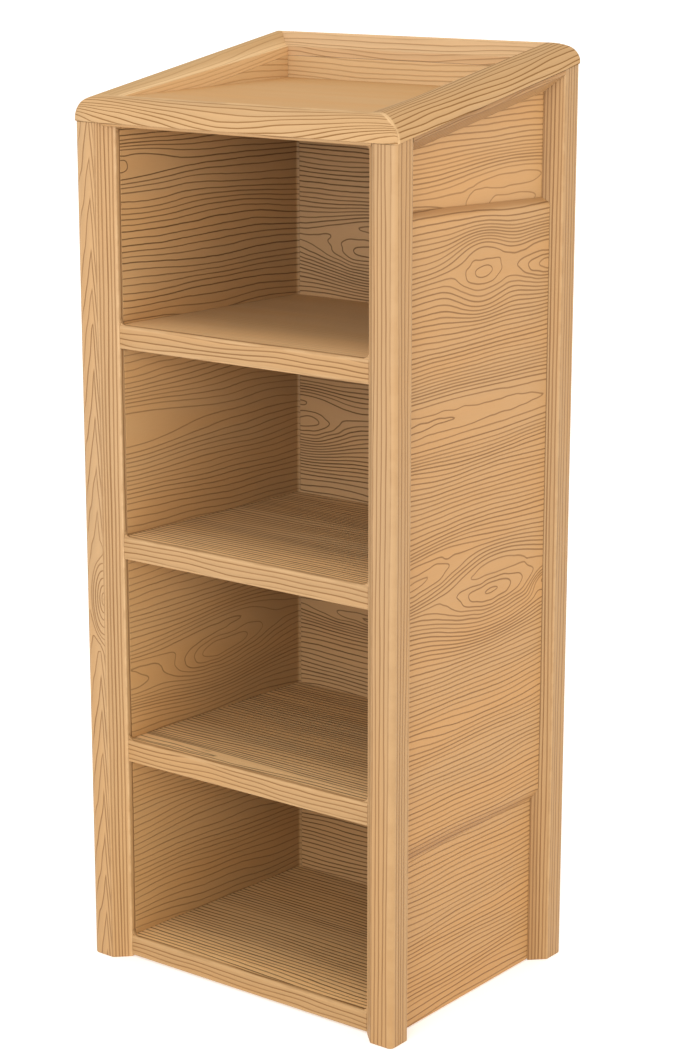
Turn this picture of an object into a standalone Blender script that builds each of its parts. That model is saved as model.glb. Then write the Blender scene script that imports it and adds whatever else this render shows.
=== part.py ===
"""Open-fronted wooden book tower: four posts, panelled sides, four open compartments and a
tray top whose rim rises toward the back. Lengths below are millimetres measured from the
front left corner of the post frame; +X is right, +Y is toward the back, +Z is up. The model
is centred on X and Y, stands on Z = 0 and is built in metres."""

import math

import bmesh
import bpy
from mathutils import Vector

MM = 0.001
WIDTH = 459.0          # over the posts
DEPTH = 354.0          # over the posts
GAP = 0.3              # between pieces that touch
FOOT = 2.0             # panels and rails stop this far above the floor

POST_FACE = 30.5       # flat outer face of a post
POST_CHAMFER = 17.2    # chamfer, measured along the face
POST_END = POST_FACE + POST_CHAMFER
POST_FRONT_SET = 17.0  # depth of the chamfer toward the opening
POST_SIDE_SET = 17.4   # depth of the chamfer toward the side panel
POST_ROUND = 6.0       # outer vertical corner
POST_NOSE = 24.0       # depth of the front post's inner edge, ahead of the case side
POST_INNER = 35.0      # inner face of a post, against the case side

CASE_TOE = 0.0627      # the case sides close in toward the back by this much per millimetre
CASE_BACK = 326.0      # back edge of the case side
DADO = 6.0             # depth of the shelf housings

PANEL_FACE = 18.7      # outer face of the recessed side panel
PANEL_TONGUE = 27.7    # back of the panel's tongue
PANEL_BACK = 34.7      # back of the panel
GROOVE_END = 37.0      # bottom of the groove in the posts

RAISED_FACE = 10.4     # outer face of the raised panel
# heights of the raised panel's edges as (front end, back end)
RAISED_LOW, RAISED_HIGH = (229.7, 223.8), (941.6, 934.1)
RAISED_FOOT, RAISED_HEAD = (209.7, 212.0), (949.5, 940.6)

SHELF_PITCH = 254.0
SHELF_FIRST = 254.6    # underside of the lowest nosing
NOSING_HIGH = 28.4
NOSING_DEEP = 20.0
SHELF_THICK = 18.0
BASE_TOP = 28.3
HEADER_LOW = 1020.8

RIM_UNDER = 1025.0     # underside of the rim at its front edge
RIM_SLOPE = 0.184      # rise of that underside toward the back
RIM_OVER = 1.5         # overhang of the rim past the posts
RIM_WIDE = 54.5        # rim, outer edge to inner edge, at the sides
RIM_FRONT_WIDE = 25.5
RIM_BACK_WIDE = 29.5
RIM_CREST_FRONT, RIM_CREST_BACK = 1055.5, 1113.3
RIM_ROUND = 7.0        # outer vertical corners of the rim

TRAY_SIDE = 53.0       # straight inner side of the tray, flush with the rim's inner edge
TRAY_FRONT_Z = 1053.5
TRAY_SLOPE = 0.0165
TRAY_THICK = 12.0

BACK_FRONT, BACK_REAR = 326.3, 334.3


def clear_scene():
    for old in list(bpy.data.objects):
        bpy.data.objects.remove(old, do_unlink=True)


def world(x, y, z):
    return Vector(((x - WIDTH / 2) * MM, (y - DEPTH / 2) * MM, z * MM))


def rim_under(y):
    return RIM_UNDER + RIM_SLOPE * (y + RIM_OVER)


def tray_top(y):
    return TRAY_FRONT_Z + TRAY_SLOPE * (y - 24.0)


def wall_face(y):
    """Inside face of the left case side: it starts at the post's inner edge and closes in toward the back."""
    return POST_END + CASE_TOE * (y - POST_FRONT_SET)


def material(name, colour, roughness, metallic=0.0):
    found = bpy.data.materials.get(name)
    if found:
        return found
    made = bpy.data.materials.new(name)
    made.use_nodes = True
    shader = made.node_tree.nodes["Principled BSDF"]
    shader.inputs["Base Color"].default_value = (*colour, 1.0)
    shader.inputs["Roughness"].default_value = roughness
    shader.inputs["Metallic"].default_value = metallic
    return made


def finish_mesh(name, bm):
    bmesh.ops.recalc_face_normals(bm, faces=bm.faces[:])
    mesh = bpy.data.meshes.new(name)
    bm.to_mesh(mesh)
    bm.free()
    obj = bpy.data.objects.new(name, mesh)
    bpy.context.scene.collection.objects.link(obj)
    return obj


def loft(name, loops):
    """A closed solid through loops of equal length, with flat caps on the first and last."""
    bm = bmesh.new()
    rings = [[bm.verts.new(world(*p)) for p in loop] for loop in loops]
    count = len(rings[0])
    for low, high in zip(rings, rings[1:]):
        for i in range(count):
            j = (i + 1) % count
            bm.faces.new((low[i], low[j], high[j], high[i]))
    bm.faces.new(list(reversed(rings[0])))
    bm.faces.new(rings[-1])
    return finish_mesh(name, bm)


def rounded(points, steps=4):
    """Outline with each corner (u, v, radius) replaced by an arc of that radius."""
    out = []
    count = len(points)
    for i in range(count):
        u, v, radius = points[i]
        here = Vector((u, v))
        before = Vector(points[i - 1][:2]) - here
        after = Vector(points[(i + 1) % count][:2]) - here
        if radius <= 0:
            out.append((u, v))
            continue
        before.normalize()
        after.normalize()
        half = before.angle(after) / 2
        reach = radius / math.tan(half)
        centre = here + (before + after).normalized() * (radius / math.sin(half))
        start = here + before * reach - centre
        end = here + after * reach - centre
        turn = start.angle_signed(end)
        for k in range(steps + 1):
            a = -turn * k / steps
            c, s = math.cos(a), math.sin(a)
            out.append((centre.x + start.x * c - start.y * s, centre.y + start.x * s + start.y * c))
    return out


def mirrored(points, side):
    """Plan points for the left side, or the same points reflected to the right side."""
    return [((x if side == "left" else WIDTH - x), *rest) for x, *rest in points]


def box(name, x0, x1, y0, y1, z0, z1):
    low = [(x0, y0, z0), (x1, y0, z0), (x1, y1, z0), (x0, y1, z0)]
    high = [(x, y, z1) for x, y, _ in low]
    return loft(name, [low, high])


def bake(obj):
    graph = bpy.context.evaluated_depsgraph_get()
    mesh = bpy.data.meshes.new_from_object(obj.evaluated_get(graph))
    obj.modifiers.clear()
    obj.data = mesh


def combine(obj, other, operation="DIFFERENCE"):
    """Cut the other solid from the object, join it on or keep the common part, then drop the other."""
    step = obj.modifiers.new("combine", "BOOLEAN")
    step.operation = operation
    step.solver = "EXACT"
    step.object = other
    bpy.context.view_layer.update()
    bake(obj)
    bpy.data.objects.remove(other, do_unlink=True)


def ease(obj, chosen, width, segments=2):
    """Round the edges for which chosen(a, b) holds, a and b being their ends in millimetres."""
    bm = bmesh.new()
    bm.from_mesh(obj.data)

    def plain(v):
        return (v.co.x / MM + WIDTH / 2, v.co.y / MM + DEPTH / 2, v.co.z / MM)

    edges = [e for e in bm.edges if chosen(plain(e.verts[0]), plain(e.verts[1]))]
    bmesh.ops.bevel(
        bm, geom=edges, offset=width * MM, segments=segments, profile=0.5, affect="EDGES", clamp_overlap=True
    )
    bmesh.ops.recalc_face_normals(bm, faces=bm.faces[:])
    bm.to_mesh(obj.data)
    bm.free()


def cylinder(name, start, end, radius, steps=24):
    """Round bar between two points in millimetres."""
    axis = (Vector(end) - Vector(start)).normalized()
    aside = axis.orthogonal().normalized()
    across = axis.cross(aside)
    loops = []
    for centre in (start, end):
        ring = []
        for k in range(steps):
            a = 2 * math.pi * k / steps
            p = Vector(centre) + (aside * math.cos(a) + across * math.sin(a)) * radius
            ring.append((p.x, p.y, p.z))
        loops.append(ring)
    return loft(name, loops)


def turned(name, start, axis, profile, steps=20):
    """Solid of revolution: profile holds (distance along the axis, radius)."""
    axis = Vector(axis).normalized()
    aside = axis.orthogonal().normalized()
    across = axis.cross(aside)
    loops = []
    for along, radius in profile:
        centre = Vector(start) + axis * along
        ring = []
        for k in range(steps):
            a = 2 * math.pi * k / steps
            p = centre + (aside * math.cos(a) + across * math.sin(a)) * radius
            ring.append((p.x, p.y, p.z))
        loops.append(ring)
    return loft(name, loops)


def at_bottom(a, b):
    return abs(a[2]) < 0.01 and abs(b[2]) < 0.01


# ---------------------------------------------------------------- posts


def front_post(side):
    end = POST_END
    plan = rounded(
        [
            (0, 0, POST_ROUND),
            (POST_FACE, 0, 3.0),
            (end, POST_FRONT_SET, 2.5),
            (end, POST_NOSE, 0),
            (POST_INNER, POST_NOSE, 0),
            (POST_INNER, end, 0),
            (POST_SIDE_SET, end, 0),
            (0, POST_FACE, 3.0),
        ]
    )
    plan = mirrored(plan, side)
    obj = loft(
        f"post_front_{side}",
        [[(x, y, 0.0) for x, y in plan], [(x, y, rim_under(y) - GAP) for x, y in plan]],
    )
    ease(obj, at_bottom, 1.5)
    panel_groove(obj, side, GROOVE_END, end + 5)
    return obj


def rear_post(side):
    end = POST_END
    plan = rounded(
        [
            (0, DEPTH, POST_ROUND),
            (0, DEPTH - POST_FACE, 3.0),
            (POST_SIDE_SET, DEPTH - end, 0),
            (POST_INNER, DEPTH - end, 0),
            (POST_INNER, DEPTH, 2.5),
        ]
    )
    plan = mirrored(plan, side)
    obj = loft(
        f"post_rear_{side}",
        [[(x, y, 0.0) for x, y in plan], [(x, y, rim_under(y) - GAP) for x, y in plan]],
    )
    ease(obj, at_bottom, 1.5)
    panel_groove(obj, side, DEPTH - end - 5, DEPTH - GROOVE_END)
    return obj


def panel_groove(obj, side, y0, y1):
    x0, x1 = PANEL_FACE - GAP, PANEL_TONGUE + GAP
    if side == "right":
        x0, x1 = WIDTH - x1, WIDTH - x0
    combine(obj, box("cut", x0, x1, y0, y1, -5, 1200))


# ---------------------------------------------------------------- sides


def case_side(side):
    """Inside wall of the compartments, tapered in plan, housed for the shelves and rebated for the tray floor."""
    front = POST_NOSE + GAP
    plan = [
        (wall_face(front), front),
        (wall_face(CASE_BACK), CASE_BACK),
        (POST_INNER + GAP, CASE_BACK),
        (POST_INNER + GAP, front),
    ]
    plan = mirrored(plan, side)
    obj = loft(
        f"case_side_{side}",
        [[(x, y, FOOT) for x, y in plan], [(x, y, rim_under(y) - GAP) for x, y in plan]],
    )
    y0, y1 = POST_FRONT_SET + NOSING_DEEP - 8.2, CASE_BACK + 5
    house = mirrored(
        [
            (wall_face(y0) - DADO, y0),
            (wall_face(y0) + 5, y0),
            (wall_face(y1) + 5, y1),
            (wall_face(y1) - DADO, y1),
        ],
        side,
    )
    for low, top in shelf_levels():
        combine(
            obj, loft("cut", [[(x, y, z) for x, y in house] for z in (top - SHELF_THICK - GAP, top + GAP)])
        )
    seat = mirrored([(TRAY_SIDE, 20.0), (90.0, 20.0), (90.0, CASE_BACK + 5), (TRAY_SIDE, CASE_BACK + 5)], side)
    combine(
        obj,
        loft(
            "cut",
            [
                [(x, y, tray_top(y) - TRAY_THICK - GAP) for x, y in seat],
                [(x, y, 1200.0) for x, y in seat],
            ],
        ),
    )
    return obj


def rail_end(x):
    """Where the front end of the side rail's outer part stops: it is cut to the slope of the post's chamfer."""
    return POST_FACE + x * POST_CHAMFER / POST_SIDE_SET + 0.5


def side_rail(side):
    """Sloping rail under the rim; its face shows as a narrow strip and a chamfer."""
    y0, y1 = POST_END + 0.5, DEPTH - POST_END - 0.5
    inner = [
        (17.7, -GAP),
        (PANEL_BACK, -GAP),
        (PANEL_BACK, -24.0),
        (PANEL_TONGUE + GAP, -24.0),
        (PANEL_TONGUE + GAP, -15.0),
        (PANEL_FACE - GAP, -15.0),
        (PANEL_FACE - GAP, -21.0),
        (17.7, -21.0),
    ]
    inner = mirrored(inner, side)
    obj = loft(f"side_rail_{side}", [[(x, y, rim_under(y) + dz) for x, dz in inner] for y in (y0, y1)])
    outer = rounded([(0, -GAP, 0), (18.1, -GAP, 0), (18.1, -21.0, 0), (POST_SIDE_SET, -21.0, 0), (0, -5.5, 2.0)])
    loops = []
    for end in (rail_end, lambda x: DEPTH - rail_end(x)):
        loops.append(mirrored([(x, end(x), rim_under(end(x)) + dz) for x, dz in outer], side))
    combine(obj, loft("outer", loops), "UNION")
    # stub tenons in the post grooves
    x0, x1 = (PANEL_FACE, PANEL_TONGUE)
    corners = mirrored([(x0, 0), (x1, 0)], side)
    xa, xb = corners[0][0], corners[1][0]
    for ya, yb in ((GROOVE_END + GAP, y0 + 3), (y1 - 3, DEPTH - GROOVE_END - GAP)):
        tenon = loft(
            "tenon",
            [
                [
                    (xa, y, rim_under(y) - 14.6),
                    (xb, y, rim_under(y) - 14.6),
                    (xb, y, rim_under(y) - 3.0),
                    (xa, y, rim_under(y) - 3.0),
                ]
                for y in (ya, yb)
            ],
        )
        combine(obj, tenon, "UNION")
    return obj


def side_panel(side):
    """Flat panel with a thinner tongue on three edges, held in the post and rail grooves."""
    end = POST_END

    def slab(x0, x1, y0, y1, drop):
        xs = [p[0] for p in mirrored([(x0, 0), (x1, 0)], side)]
        return [
            [
                (x, y0, FOOT),
                (x, y1, FOOT),
                (x, y1, rim_under(y1) - drop),
                (x, y0, rim_under(y0) - drop),
            ]
            for x in xs
        ]

    obj = loft(
        f"side_panel_{side}",
        slab(PANEL_FACE, PANEL_TONGUE, GROOVE_END + GAP, DEPTH - GROOVE_END - GAP, 15.0 + GAP),
    )
    thick = loft("thick", slab(PANEL_TONGUE - 2, PANEL_BACK, end + GAP, DEPTH - end - GAP, 24.0 + GAP))
    combine(obj, thick, "UNION")
    return obj


def raised_panel(side):
    """Applied middle panel; long bevels above and below, edges fitted to the post chamfers."""
    run = POST_CHAMFER / POST_SIDE_SET
    edge_face = POST_FACE + RAISED_FACE * run + 0.5
    edge_foot = POST_END + 0.5
    layers = [
        (PANEL_FACE - GAP, edge_foot, RAISED_FOOT, RAISED_HEAD),
        (POST_SIDE_SET, edge_foot, RAISED_FOOT, RAISED_HEAD),
        (RAISED_FACE, edge_face, RAISED_LOW, RAISED_HIGH),
    ]
    loops = []
    for x, inset, low, high in layers:
        x = x if side == "left" else WIDTH - x
        near, far = inset, DEPTH - inset
        loops.append([(x, near, low[0]), (x, far, low[1]), (x, far, high[1]), (x, near, high[0])])
    obj = loft(f"raised_panel_{side}", loops)
    face = RAISED_FACE if side == "left" else WIDTH - RAISED_FACE

    def on_face(a, b):
        return abs(a[0] - face) < 0.01 and abs(b[0] - face) < 0.01

    ease(obj, on_face, 2.5, 3)
    return obj


# ---------------------------------------------------------------- back, shelves


def back_panel():
    side = POST_INNER + GAP
    top = rim_under(BACK_FRONT) - 0.5
    obj = box("back_panel", side, WIDTH - side, BACK_FRONT, BACK_REAR, FOOT, top)
    ease(
        obj,
        lambda a, b: abs(a[1] - BACK_REAR) < 0.01 and abs(b[1] - BACK_REAR) < 0.01,
        0.8,
        1,
    )
    return obj


def shelf_levels():
    levels = [(FOOT, BASE_TOP)]
    for k in range(3):
        low = SHELF_FIRST + k * SHELF_PITCH
        levels.append((low, low + NOSING_HIGH))
    return levels


def nosing(name, low, top):
    y0, y1 = POST_FRONT_SET, POST_FRONT_SET + NOSING_DEEP
    section = rounded(
        [
            (y0, low, 2.6),
            (y0, top, 3.4),
            (y1, top, 0),
            (y1, top - 6.0 + GAP, 0),
            (y1 - 8.0, top - 6.0 + GAP, 0),
            (y1 - 8.0, top - 12.0 - GAP, 0),
            (y1, top - 12.0 - GAP, 0),
            (y1, low, 0),
        ]
    )
    obj = loft(
        name,
        [
            [(wall_face(y) + GAP, y, z) for y, z in section],
            [(WIDTH - wall_face(y) - GAP, y, z) for y, z in section],
        ],
    )
    # small concave corners where the top edge meets the posts
    for side in ("left", "right"):
        radius = 7.0
        x = POST_END + GAP + 0.3
        outline = [(x, top - 4.0), (x + radius, top - 4.0)]
        for k in range(6):
            a = math.pi / 2 * k / 5
            outline.append((x + radius - radius * math.sin(a), top + radius - radius * math.cos(a)))
        outline = mirrored(outline, side)
        web = loft("web", [[(u, y, v) for u, v in outline] for y in (y0 + 1.2, y0 + 4.2)])
        combine(obj, web, "UNION")
    return obj


def shelf(name, top):
    """Board housed in the case sides, narrower at the back, with a tongue in the nosing's groove."""
    y0, y1 = POST_FRONT_SET + NOSING_DEEP + GAP, BACK_FRONT - GAP
    section = [
        (y0, top - SHELF_THICK),
        (y0, top - 12.0),
        (y0 - 7.6, top - 12.0),
        (y0 - 7.6, top - 6.0),
        (y0, top - 6.0),
        (y0, top),
        (y1, top),
        (y1, top - SHELF_THICK),
    ]
    return loft(
        name,
        [
            [(wall_face(y) - DADO + GAP, y, z) for y, z in section],
            [(WIDTH - wall_face(y) + DADO - GAP, y, z) for y, z in section],
        ],
    )


# ---------------------------------------------------------------- top


def rim_profile():
    """(share of the width, height at the front corners, height at the back corners) round the section."""
    width = RIM_WIDE
    inner_y_front = RIM_FRONT_WIDE - RIM_OVER
    inner_y_back = DEPTH + RIM_OVER - RIM_BACK_WIDE
    points = []
    arc = 34.0
    rise_front = RIM_CREST_FRONT - (RIM_UNDER + 3.5)
    under_back = rim_under(DEPTH + RIM_OVER)
    rise_back = RIM_CREST_BACK - (under_back + 3.0)
    steps = 10
    for k in range(steps + 1):
        a = math.pi / 2 * k / steps
        share = arc * (1 - math.cos(a)) / width
        points.append(
            (share, RIM_UNDER + 3.5 + rise_front * math.sin(a), under_back + 3.0 + rise_back * math.sin(a))
        )
    # crest, then the inner slope: a round shoulder, a steep run and a cove that dies into the tray wall
    drop_front = RIM_CREST_FRONT - TRAY_FRONT_Z - 0.4
    lip_back = rim_under(inner_y_back) + 10.5
    drop_back = RIM_CREST_BACK - lip_back
    for u, fall in (
        (36.5, 0.0),
        (38.0, 0.035),
        (39.5, 0.12),
        (41.2, 0.27),
        (43.5, 0.47),
        (46.0, 0.66),
        (48.6, 0.81),
        (51.5, 0.93),
        (54.5, 1.0),
    ):
        points.append((u / width, RIM_CREST_FRONT - drop_front * fall, RIM_CREST_BACK - drop_back * fall))
    points.append((1.0, rim_under(inner_y_front), rim_under(inner_y_back)))
    points.append((0.0, RIM_UNDER, under_back))
    return points


def rim(name):
    front, back = [], []
    for share, z_front, z_back in rim_profile():
        a = -RIM_OVER + share * RIM_WIDE
        front.append((a, -RIM_OVER + share * RIM_FRONT_WIDE, z_front))
        back.append((a, DEPTH + RIM_OVER - share * RIM_BACK_WIDE, z_back))
    slip = 0.35
    if name == "rim_front":
        loops = [[(x + slip, y, z) for x, y, z in front], [(WIDTH - x - slip, y, z) for x, y, z in front]]
    elif name == "rim_back":
        loops = [[(x + slip, y, z) for x, y, z in back], [(WIDTH - x - slip, y, z) for x, y, z in back]]
    else:
        loops = [[(x, y + slip / 2, z) for x, y, z in front], [(x, y - slip / 2, z) for x, y, z in back]]
        if name == "rim_right":
            loops = [[(WIDTH - x, y, z) for x, y, z in loop] for loop in loops]
    obj = loft(name, loops)
    low, high = -RIM_OVER, DEPTH + RIM_OVER
    right = WIDTH + RIM_OVER
    plan = rounded(
        [(low, low, RIM_ROUND), (right, low, RIM_ROUND), (right, high, RIM_ROUND), (low, high, RIM_ROUND)], 6
    )
    keep = loft("keep", [[(x, y, z) for x, y in plan] for z in (900.0, 1300.0)])
    combine(obj, keep, "INTERSECT")
    return obj


def header_rail():
    """Rail closing the top of the opening; it carries the front rim and the front of the tray floor."""
    y0, y1 = 4.0, 44.0
    front_x = POST_FACE + y0 * POST_CHAMFER / POST_FRONT_SET + 0.9
    plan = [
        (front_x, y0),
        (POST_END + 0.6, POST_FRONT_SET),
        (wall_face(y1) + 0.4, y1),
    ]
    plan = plan + [(WIDTH - x, y) for x, y in reversed(plan)]
    low = HEADER_LOW
    obj = loft(
        "header_rail",
        [[(x, y, low) for x, y in plan], [(x, y, rim_under(y) - GAP) for x, y in plan]],
    )
    ease(
        obj,
        lambda a, b: abs(a[2] - low) < 0.01 and abs(b[2] - low) < 0.01 and a[1] < 4.1 and b[1] < 4.1,
        4.2,
        4,
    )
    # step behind the front rim, up to the tray floor
    step = [(y, z) for y in (24.5, y1 - 0.5) for z in (low + 3.0, tray_top(y) - TRAY_THICK - GAP)]
    step = [step[0], step[2], step[3], step[1]]
    combine(
        obj,
        loft("step", [[(x, y, z) for y, z in step] for x in (TRAY_SIDE + 0.5, WIDTH - TRAY_SIDE - 0.5)]),
        "UNION",
    )
    # small concave corners where the rail meets the posts
    for side in ("left", "right"):
        radius = 8.0
        x = POST_END + 0.7
        web_line = [(x + radius, low + 3.0), (x, low + 3.0)]
        for k in range(6):
            a = math.pi / 2 * k / 5
            web_line.append((x + radius - radius * math.cos(a), low - radius + radius * math.sin(a)))
        web_line = mirrored(web_line, side)
        web = loft("web", [[(u, y, v) for u, v in web_line] for y in (POST_FRONT_SET + 1.2, POST_FRONT_SET + 4.2)])
        combine(obj, web, "UNION")
    return obj


def tray_floor():
    x0, x1 = TRAY_SIDE + GAP, WIDTH - TRAY_SIDE - GAP
    y0, y1 = 24.0 + GAP, BACK_FRONT - GAP
    section = rounded(
        [
            (y0, tray_top(y0) - TRAY_THICK, 0),
            (y1, tray_top(y1) - TRAY_THICK, 0),
            (y1, tray_top(y1), 0),
            (y0, tray_top(y0), 1.0),
        ],
        3,
    )
    return loft("tray_floor", [[(x, y, z) for y, z in section] for x in (x0, x1)])


def side_cleat(side):
    loops = []
    for y in (107.0, 307.0):
        x0, x1 = wall_face(y) + GAP, wall_face(y) + 18.0
        top = tray_top(y) - TRAY_THICK - GAP
        section = rounded([(x0, top - 18.0, 0), (x1, top - 18.0, 1.5), (x1, top, 1.5), (x0, top, 0)], 2)
        loops.append(mirrored([(x, y, z) for x, z in section], side))
    return loft(f"tray_cleat_{side}", loops)


def back_cleat():
    x0, x1 = wall_face(CASE_BACK) + 0.4, WIDTH - wall_face(CASE_BACK) - 0.4
    y0, y1 = 308.0, BACK_FRONT - GAP
    section = rounded(
        [
            (y0, tray_top(y0) - TRAY_THICK - GAP, 1.5),
            (y1, tray_top(y1) - TRAY_THICK - GAP, 0),
            (y1, tray_top(y1) - TRAY_THICK - 18.0, 0),
            (y0, tray_top(y0) - TRAY_THICK - 18.0, 1.5),
        ],
        2,
    )
    return loft("tray_cleat_back", [[(x, y, z) for y, z in section] for x in (x0, x1)])


# ---------------------------------------------------------------- joinery


def rim_dowel(name, side, y, post, caps):
    x = 17.0 if side == "left" else WIDTH - 17.0
    level = rim_under(y)
    low, high = level - 22.0, level + 13.0
    for piece in (post, caps):
        combine(piece, cylinder("hole", (x, y, low - 0.5), (x, y, high + 0.5), 4.0 + GAP, 20))
    return cylinder(name, (x, y, low), (x, y, high), 4.0, 20)


def rim_spline(name, side, end, first, second):
    """Flat loose tongue lying across a mitre, half of it in each rim piece."""
    share = 0.50
    a = -RIM_OVER + share * RIM_WIDE
    if end == "front":
        y = -RIM_OVER + share * RIM_FRONT_WIDE
        along = Vector((RIM_WIDE, RIM_FRONT_WIDE, 0)).normalized()
    else:
        y = DEPTH + RIM_OVER - share * RIM_BACK_WIDE
        along = Vector((RIM_WIDE, -RIM_BACK_WIDE, 0)).normalized()
    z = rim_under(y) + 9.0
    x = a
    if side == "right":
        x = WIDTH - a
        along.x = -along.x
    across = Vector((-along.y, along.x, 0))

    def slab(tag, u, v, w):
        loops = []
        for dz in (-w, w):
            ring = []
            for su, sv in ((-1, -1), (1, -1), (1, 1), (-1, 1)):
                p = Vector((x, y, z + dz)) + along * (su * u) + across * (sv * v)
                ring.append((p.x, p.y, p.z))
            loops.append(ring)
        return loft(tag, loops)

    for piece in (first, second):
        combine(piece, slab("slot", 8.0 + GAP, 6.5 + GAP, 2.0 + GAP))
    return slab(name, 8.0, 6.5, 2.0)


def back_screw(name, side, z, panel, case):
    """Countersunk cross-recess screw from the back panel into the edge of the case side."""
    x = 48.0 if side == "left" else WIDTH - 48.0
    face = BACK_REAR
    start = (x, face - 0.2, z)
    profile = [(0.0, 3.9), (0.4, 4.0), (2.6, 1.9), (22.0, 1.7), (26.0, 0.5)]
    clear = [(-3.0, 4.3), (0.6, 4.3), (2.9, 2.2), (22.3, 2.0), (26.4, 0.9)]
    combine(panel, turned("hole", start, (0, -1, 0), clear))
    combine(case, turned("hole", start, (0, -1, 0), clear))
    obj = turned(name, start, (0, -1, 0), profile)
    for wide, tall in ((2.3, 0.45), (0.45, 2.3)):
        combine(
            obj,
            box("recess", x - wide, x + wide, face - 1.5, face + 1.0, z - tall, z + tall),
        )
    return obj


def main():
    clear_scene()
    made = {}

    def keep(obj):
        made[obj.name] = obj
        return obj

    for side in ("left", "right"):
        keep(front_post(side))
        keep(rear_post(side))
        keep(case_side(side))
        keep(side_rail(side))
        keep(side_panel(side))
        keep(raised_panel(side))
        keep(side_cleat(side))
    keep(back_panel())
    names = ("base", "lower", "middle", "upper")
    for name, (low, top) in zip(names, shelf_levels()):
        keep(nosing(f"{name}_nosing", low, top))
        keep(shelf(f"{name}_shelf", top))
    for name in ("rim_front", "rim_back", "rim_left", "rim_right"):
        keep(rim(name))
    keep(header_rail())
    keep(tray_floor())
    keep(back_cleat())

    for side in ("left", "right"):
        cap = made[f"rim_{side}"]
        keep(rim_dowel(f"dowel_front_{side}", side, 33.0, made[f"post_front_{side}"], cap))
        keep(rim_dowel(f"dowel_rear_{side}", side, DEPTH - 30.0, made[f"post_rear_{side}"], cap))
        for end in ("front", "back"):
            keep(rim_spline(f"spline_{end}_{side}", side, end, made[f"rim_{end}"], cap))
        for k in range(4):
            z = 90.0 + k * 300.0
            keep(back_screw(f"back_screw_{side}_{k + 1}", side, z, made["back_panel"], made[f"case_side_{side}"]))

    tan = (0.73, 0.47, 0.25)
    warm = (0.69, 0.43, 0.22)
    pale = (0.62, 0.39, 0.20)
    for name, obj in made.items():
        if "screw" in name:
            slot = material("screw_steel", (0.62, 0.62, 0.60), 0.35, 1.0)
        elif "dowel" in name or "spline" in name or "cleat" in name:
            slot = material("joinery_wood", pale, 0.65)
        elif "panel" in name or "case" in name or "shelf" in name or "tray" in name:
            slot = material("panel_wood", warm, 0.5)
        else:
            slot = material("frame_wood", tan, 0.48)
        obj.data.materials.clear()
        obj.data.materials.append(slot)
        round_piece = any(part in name for part in ("rim", "dowel", "screw", "nosing", "post"))
        for face in obj.data.polygons:
            face.use_smooth = round_piece
        if round_piece:
            obj.data.set_sharp_from_angle(angle=math.radians(32))


main()
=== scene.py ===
"""Looks of the open book tower: every visible board is rebuilt with finely rounded edges and a
procedural wood whose grain runs along that board. Lengths in the shape functions are millimetres
from the front left corner of the post frame, as in the construction."""

import math

import bmesh
import bpy
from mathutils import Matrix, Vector

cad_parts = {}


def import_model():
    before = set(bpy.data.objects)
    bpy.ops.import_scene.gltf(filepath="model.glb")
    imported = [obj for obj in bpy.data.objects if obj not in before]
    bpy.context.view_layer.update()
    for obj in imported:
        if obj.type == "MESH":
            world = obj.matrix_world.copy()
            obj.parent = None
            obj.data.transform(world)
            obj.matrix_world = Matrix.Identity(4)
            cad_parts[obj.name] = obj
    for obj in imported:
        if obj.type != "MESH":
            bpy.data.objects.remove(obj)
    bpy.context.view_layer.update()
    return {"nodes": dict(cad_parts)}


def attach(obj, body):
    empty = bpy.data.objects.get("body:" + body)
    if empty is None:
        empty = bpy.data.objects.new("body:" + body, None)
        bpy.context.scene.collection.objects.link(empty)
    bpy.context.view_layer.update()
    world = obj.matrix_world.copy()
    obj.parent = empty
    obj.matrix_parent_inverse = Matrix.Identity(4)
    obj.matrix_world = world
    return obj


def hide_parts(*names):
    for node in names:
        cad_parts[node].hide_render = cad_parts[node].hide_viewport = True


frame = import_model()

MM = 0.001
WIDTH, DEPTH, GAP, FOOT = 459.0, 354.0, 0.3, 2.0
POST_FACE, POST_CHAMFER, POST_FRONT_SET, POST_SIDE_SET = 30.5, 17.2, 17.0, 17.4
POST_ROUND, POST_NOSE, POST_INNER = 6.0, 24.0, 35.0
POST_END = POST_FACE + POST_CHAMFER
CASE_TOE, CASE_BACK, DADO = 0.0627, 326.0, 6.0
PANEL_FACE, PANEL_TONGUE, PANEL_BACK, GROOVE_END = 18.7, 27.7, 34.7, 37.0
RAISED_FACE = 10.4
RAISED_LOW, RAISED_HIGH = (229.7, 223.8), (941.6, 934.1)
RAISED_FOOT, RAISED_HEAD = (209.7, 212.0), (949.5, 940.6)
SHELF_PITCH, SHELF_FIRST, NOSING_HIGH, NOSING_DEEP, SHELF_THICK, BASE_TOP = 254.0, 254.6, 28.4, 20.0, 18.0, 28.3
HEADER_LOW = 1020.8
RIM_UNDER, RIM_SLOPE, RIM_OVER, RIM_ROUND = 1025.0, 0.184, 1.5, 11.0
RIM_WIDE, RIM_FRONT_WIDE, RIM_BACK_WIDE = 54.5, 25.5, 29.5
RIM_CREST_FRONT, RIM_CREST_BACK = 1055.5, 1113.28
TRAY_SIDE, TRAY_FRONT_Z, TRAY_SLOPE, TRAY_THICK = 53.0, 1053.5, 0.0165, 12.0
BACK_FRONT, BACK_REAR = 326.3, 334.3


def world(x, y, z):
    return Vector(((x - WIDTH / 2) * MM, (y - DEPTH / 2) * MM, z * MM))


def rim_under(y):
    return RIM_UNDER + RIM_SLOPE * (y + RIM_OVER)


def tray_top(y):
    return TRAY_FRONT_Z + TRAY_SLOPE * (y - 24.0)


def wall_face(y):
    return POST_END + CASE_TOE * (y - POST_FRONT_SET)


# ---------------------------------------------------------------- mesh helpers


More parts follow.
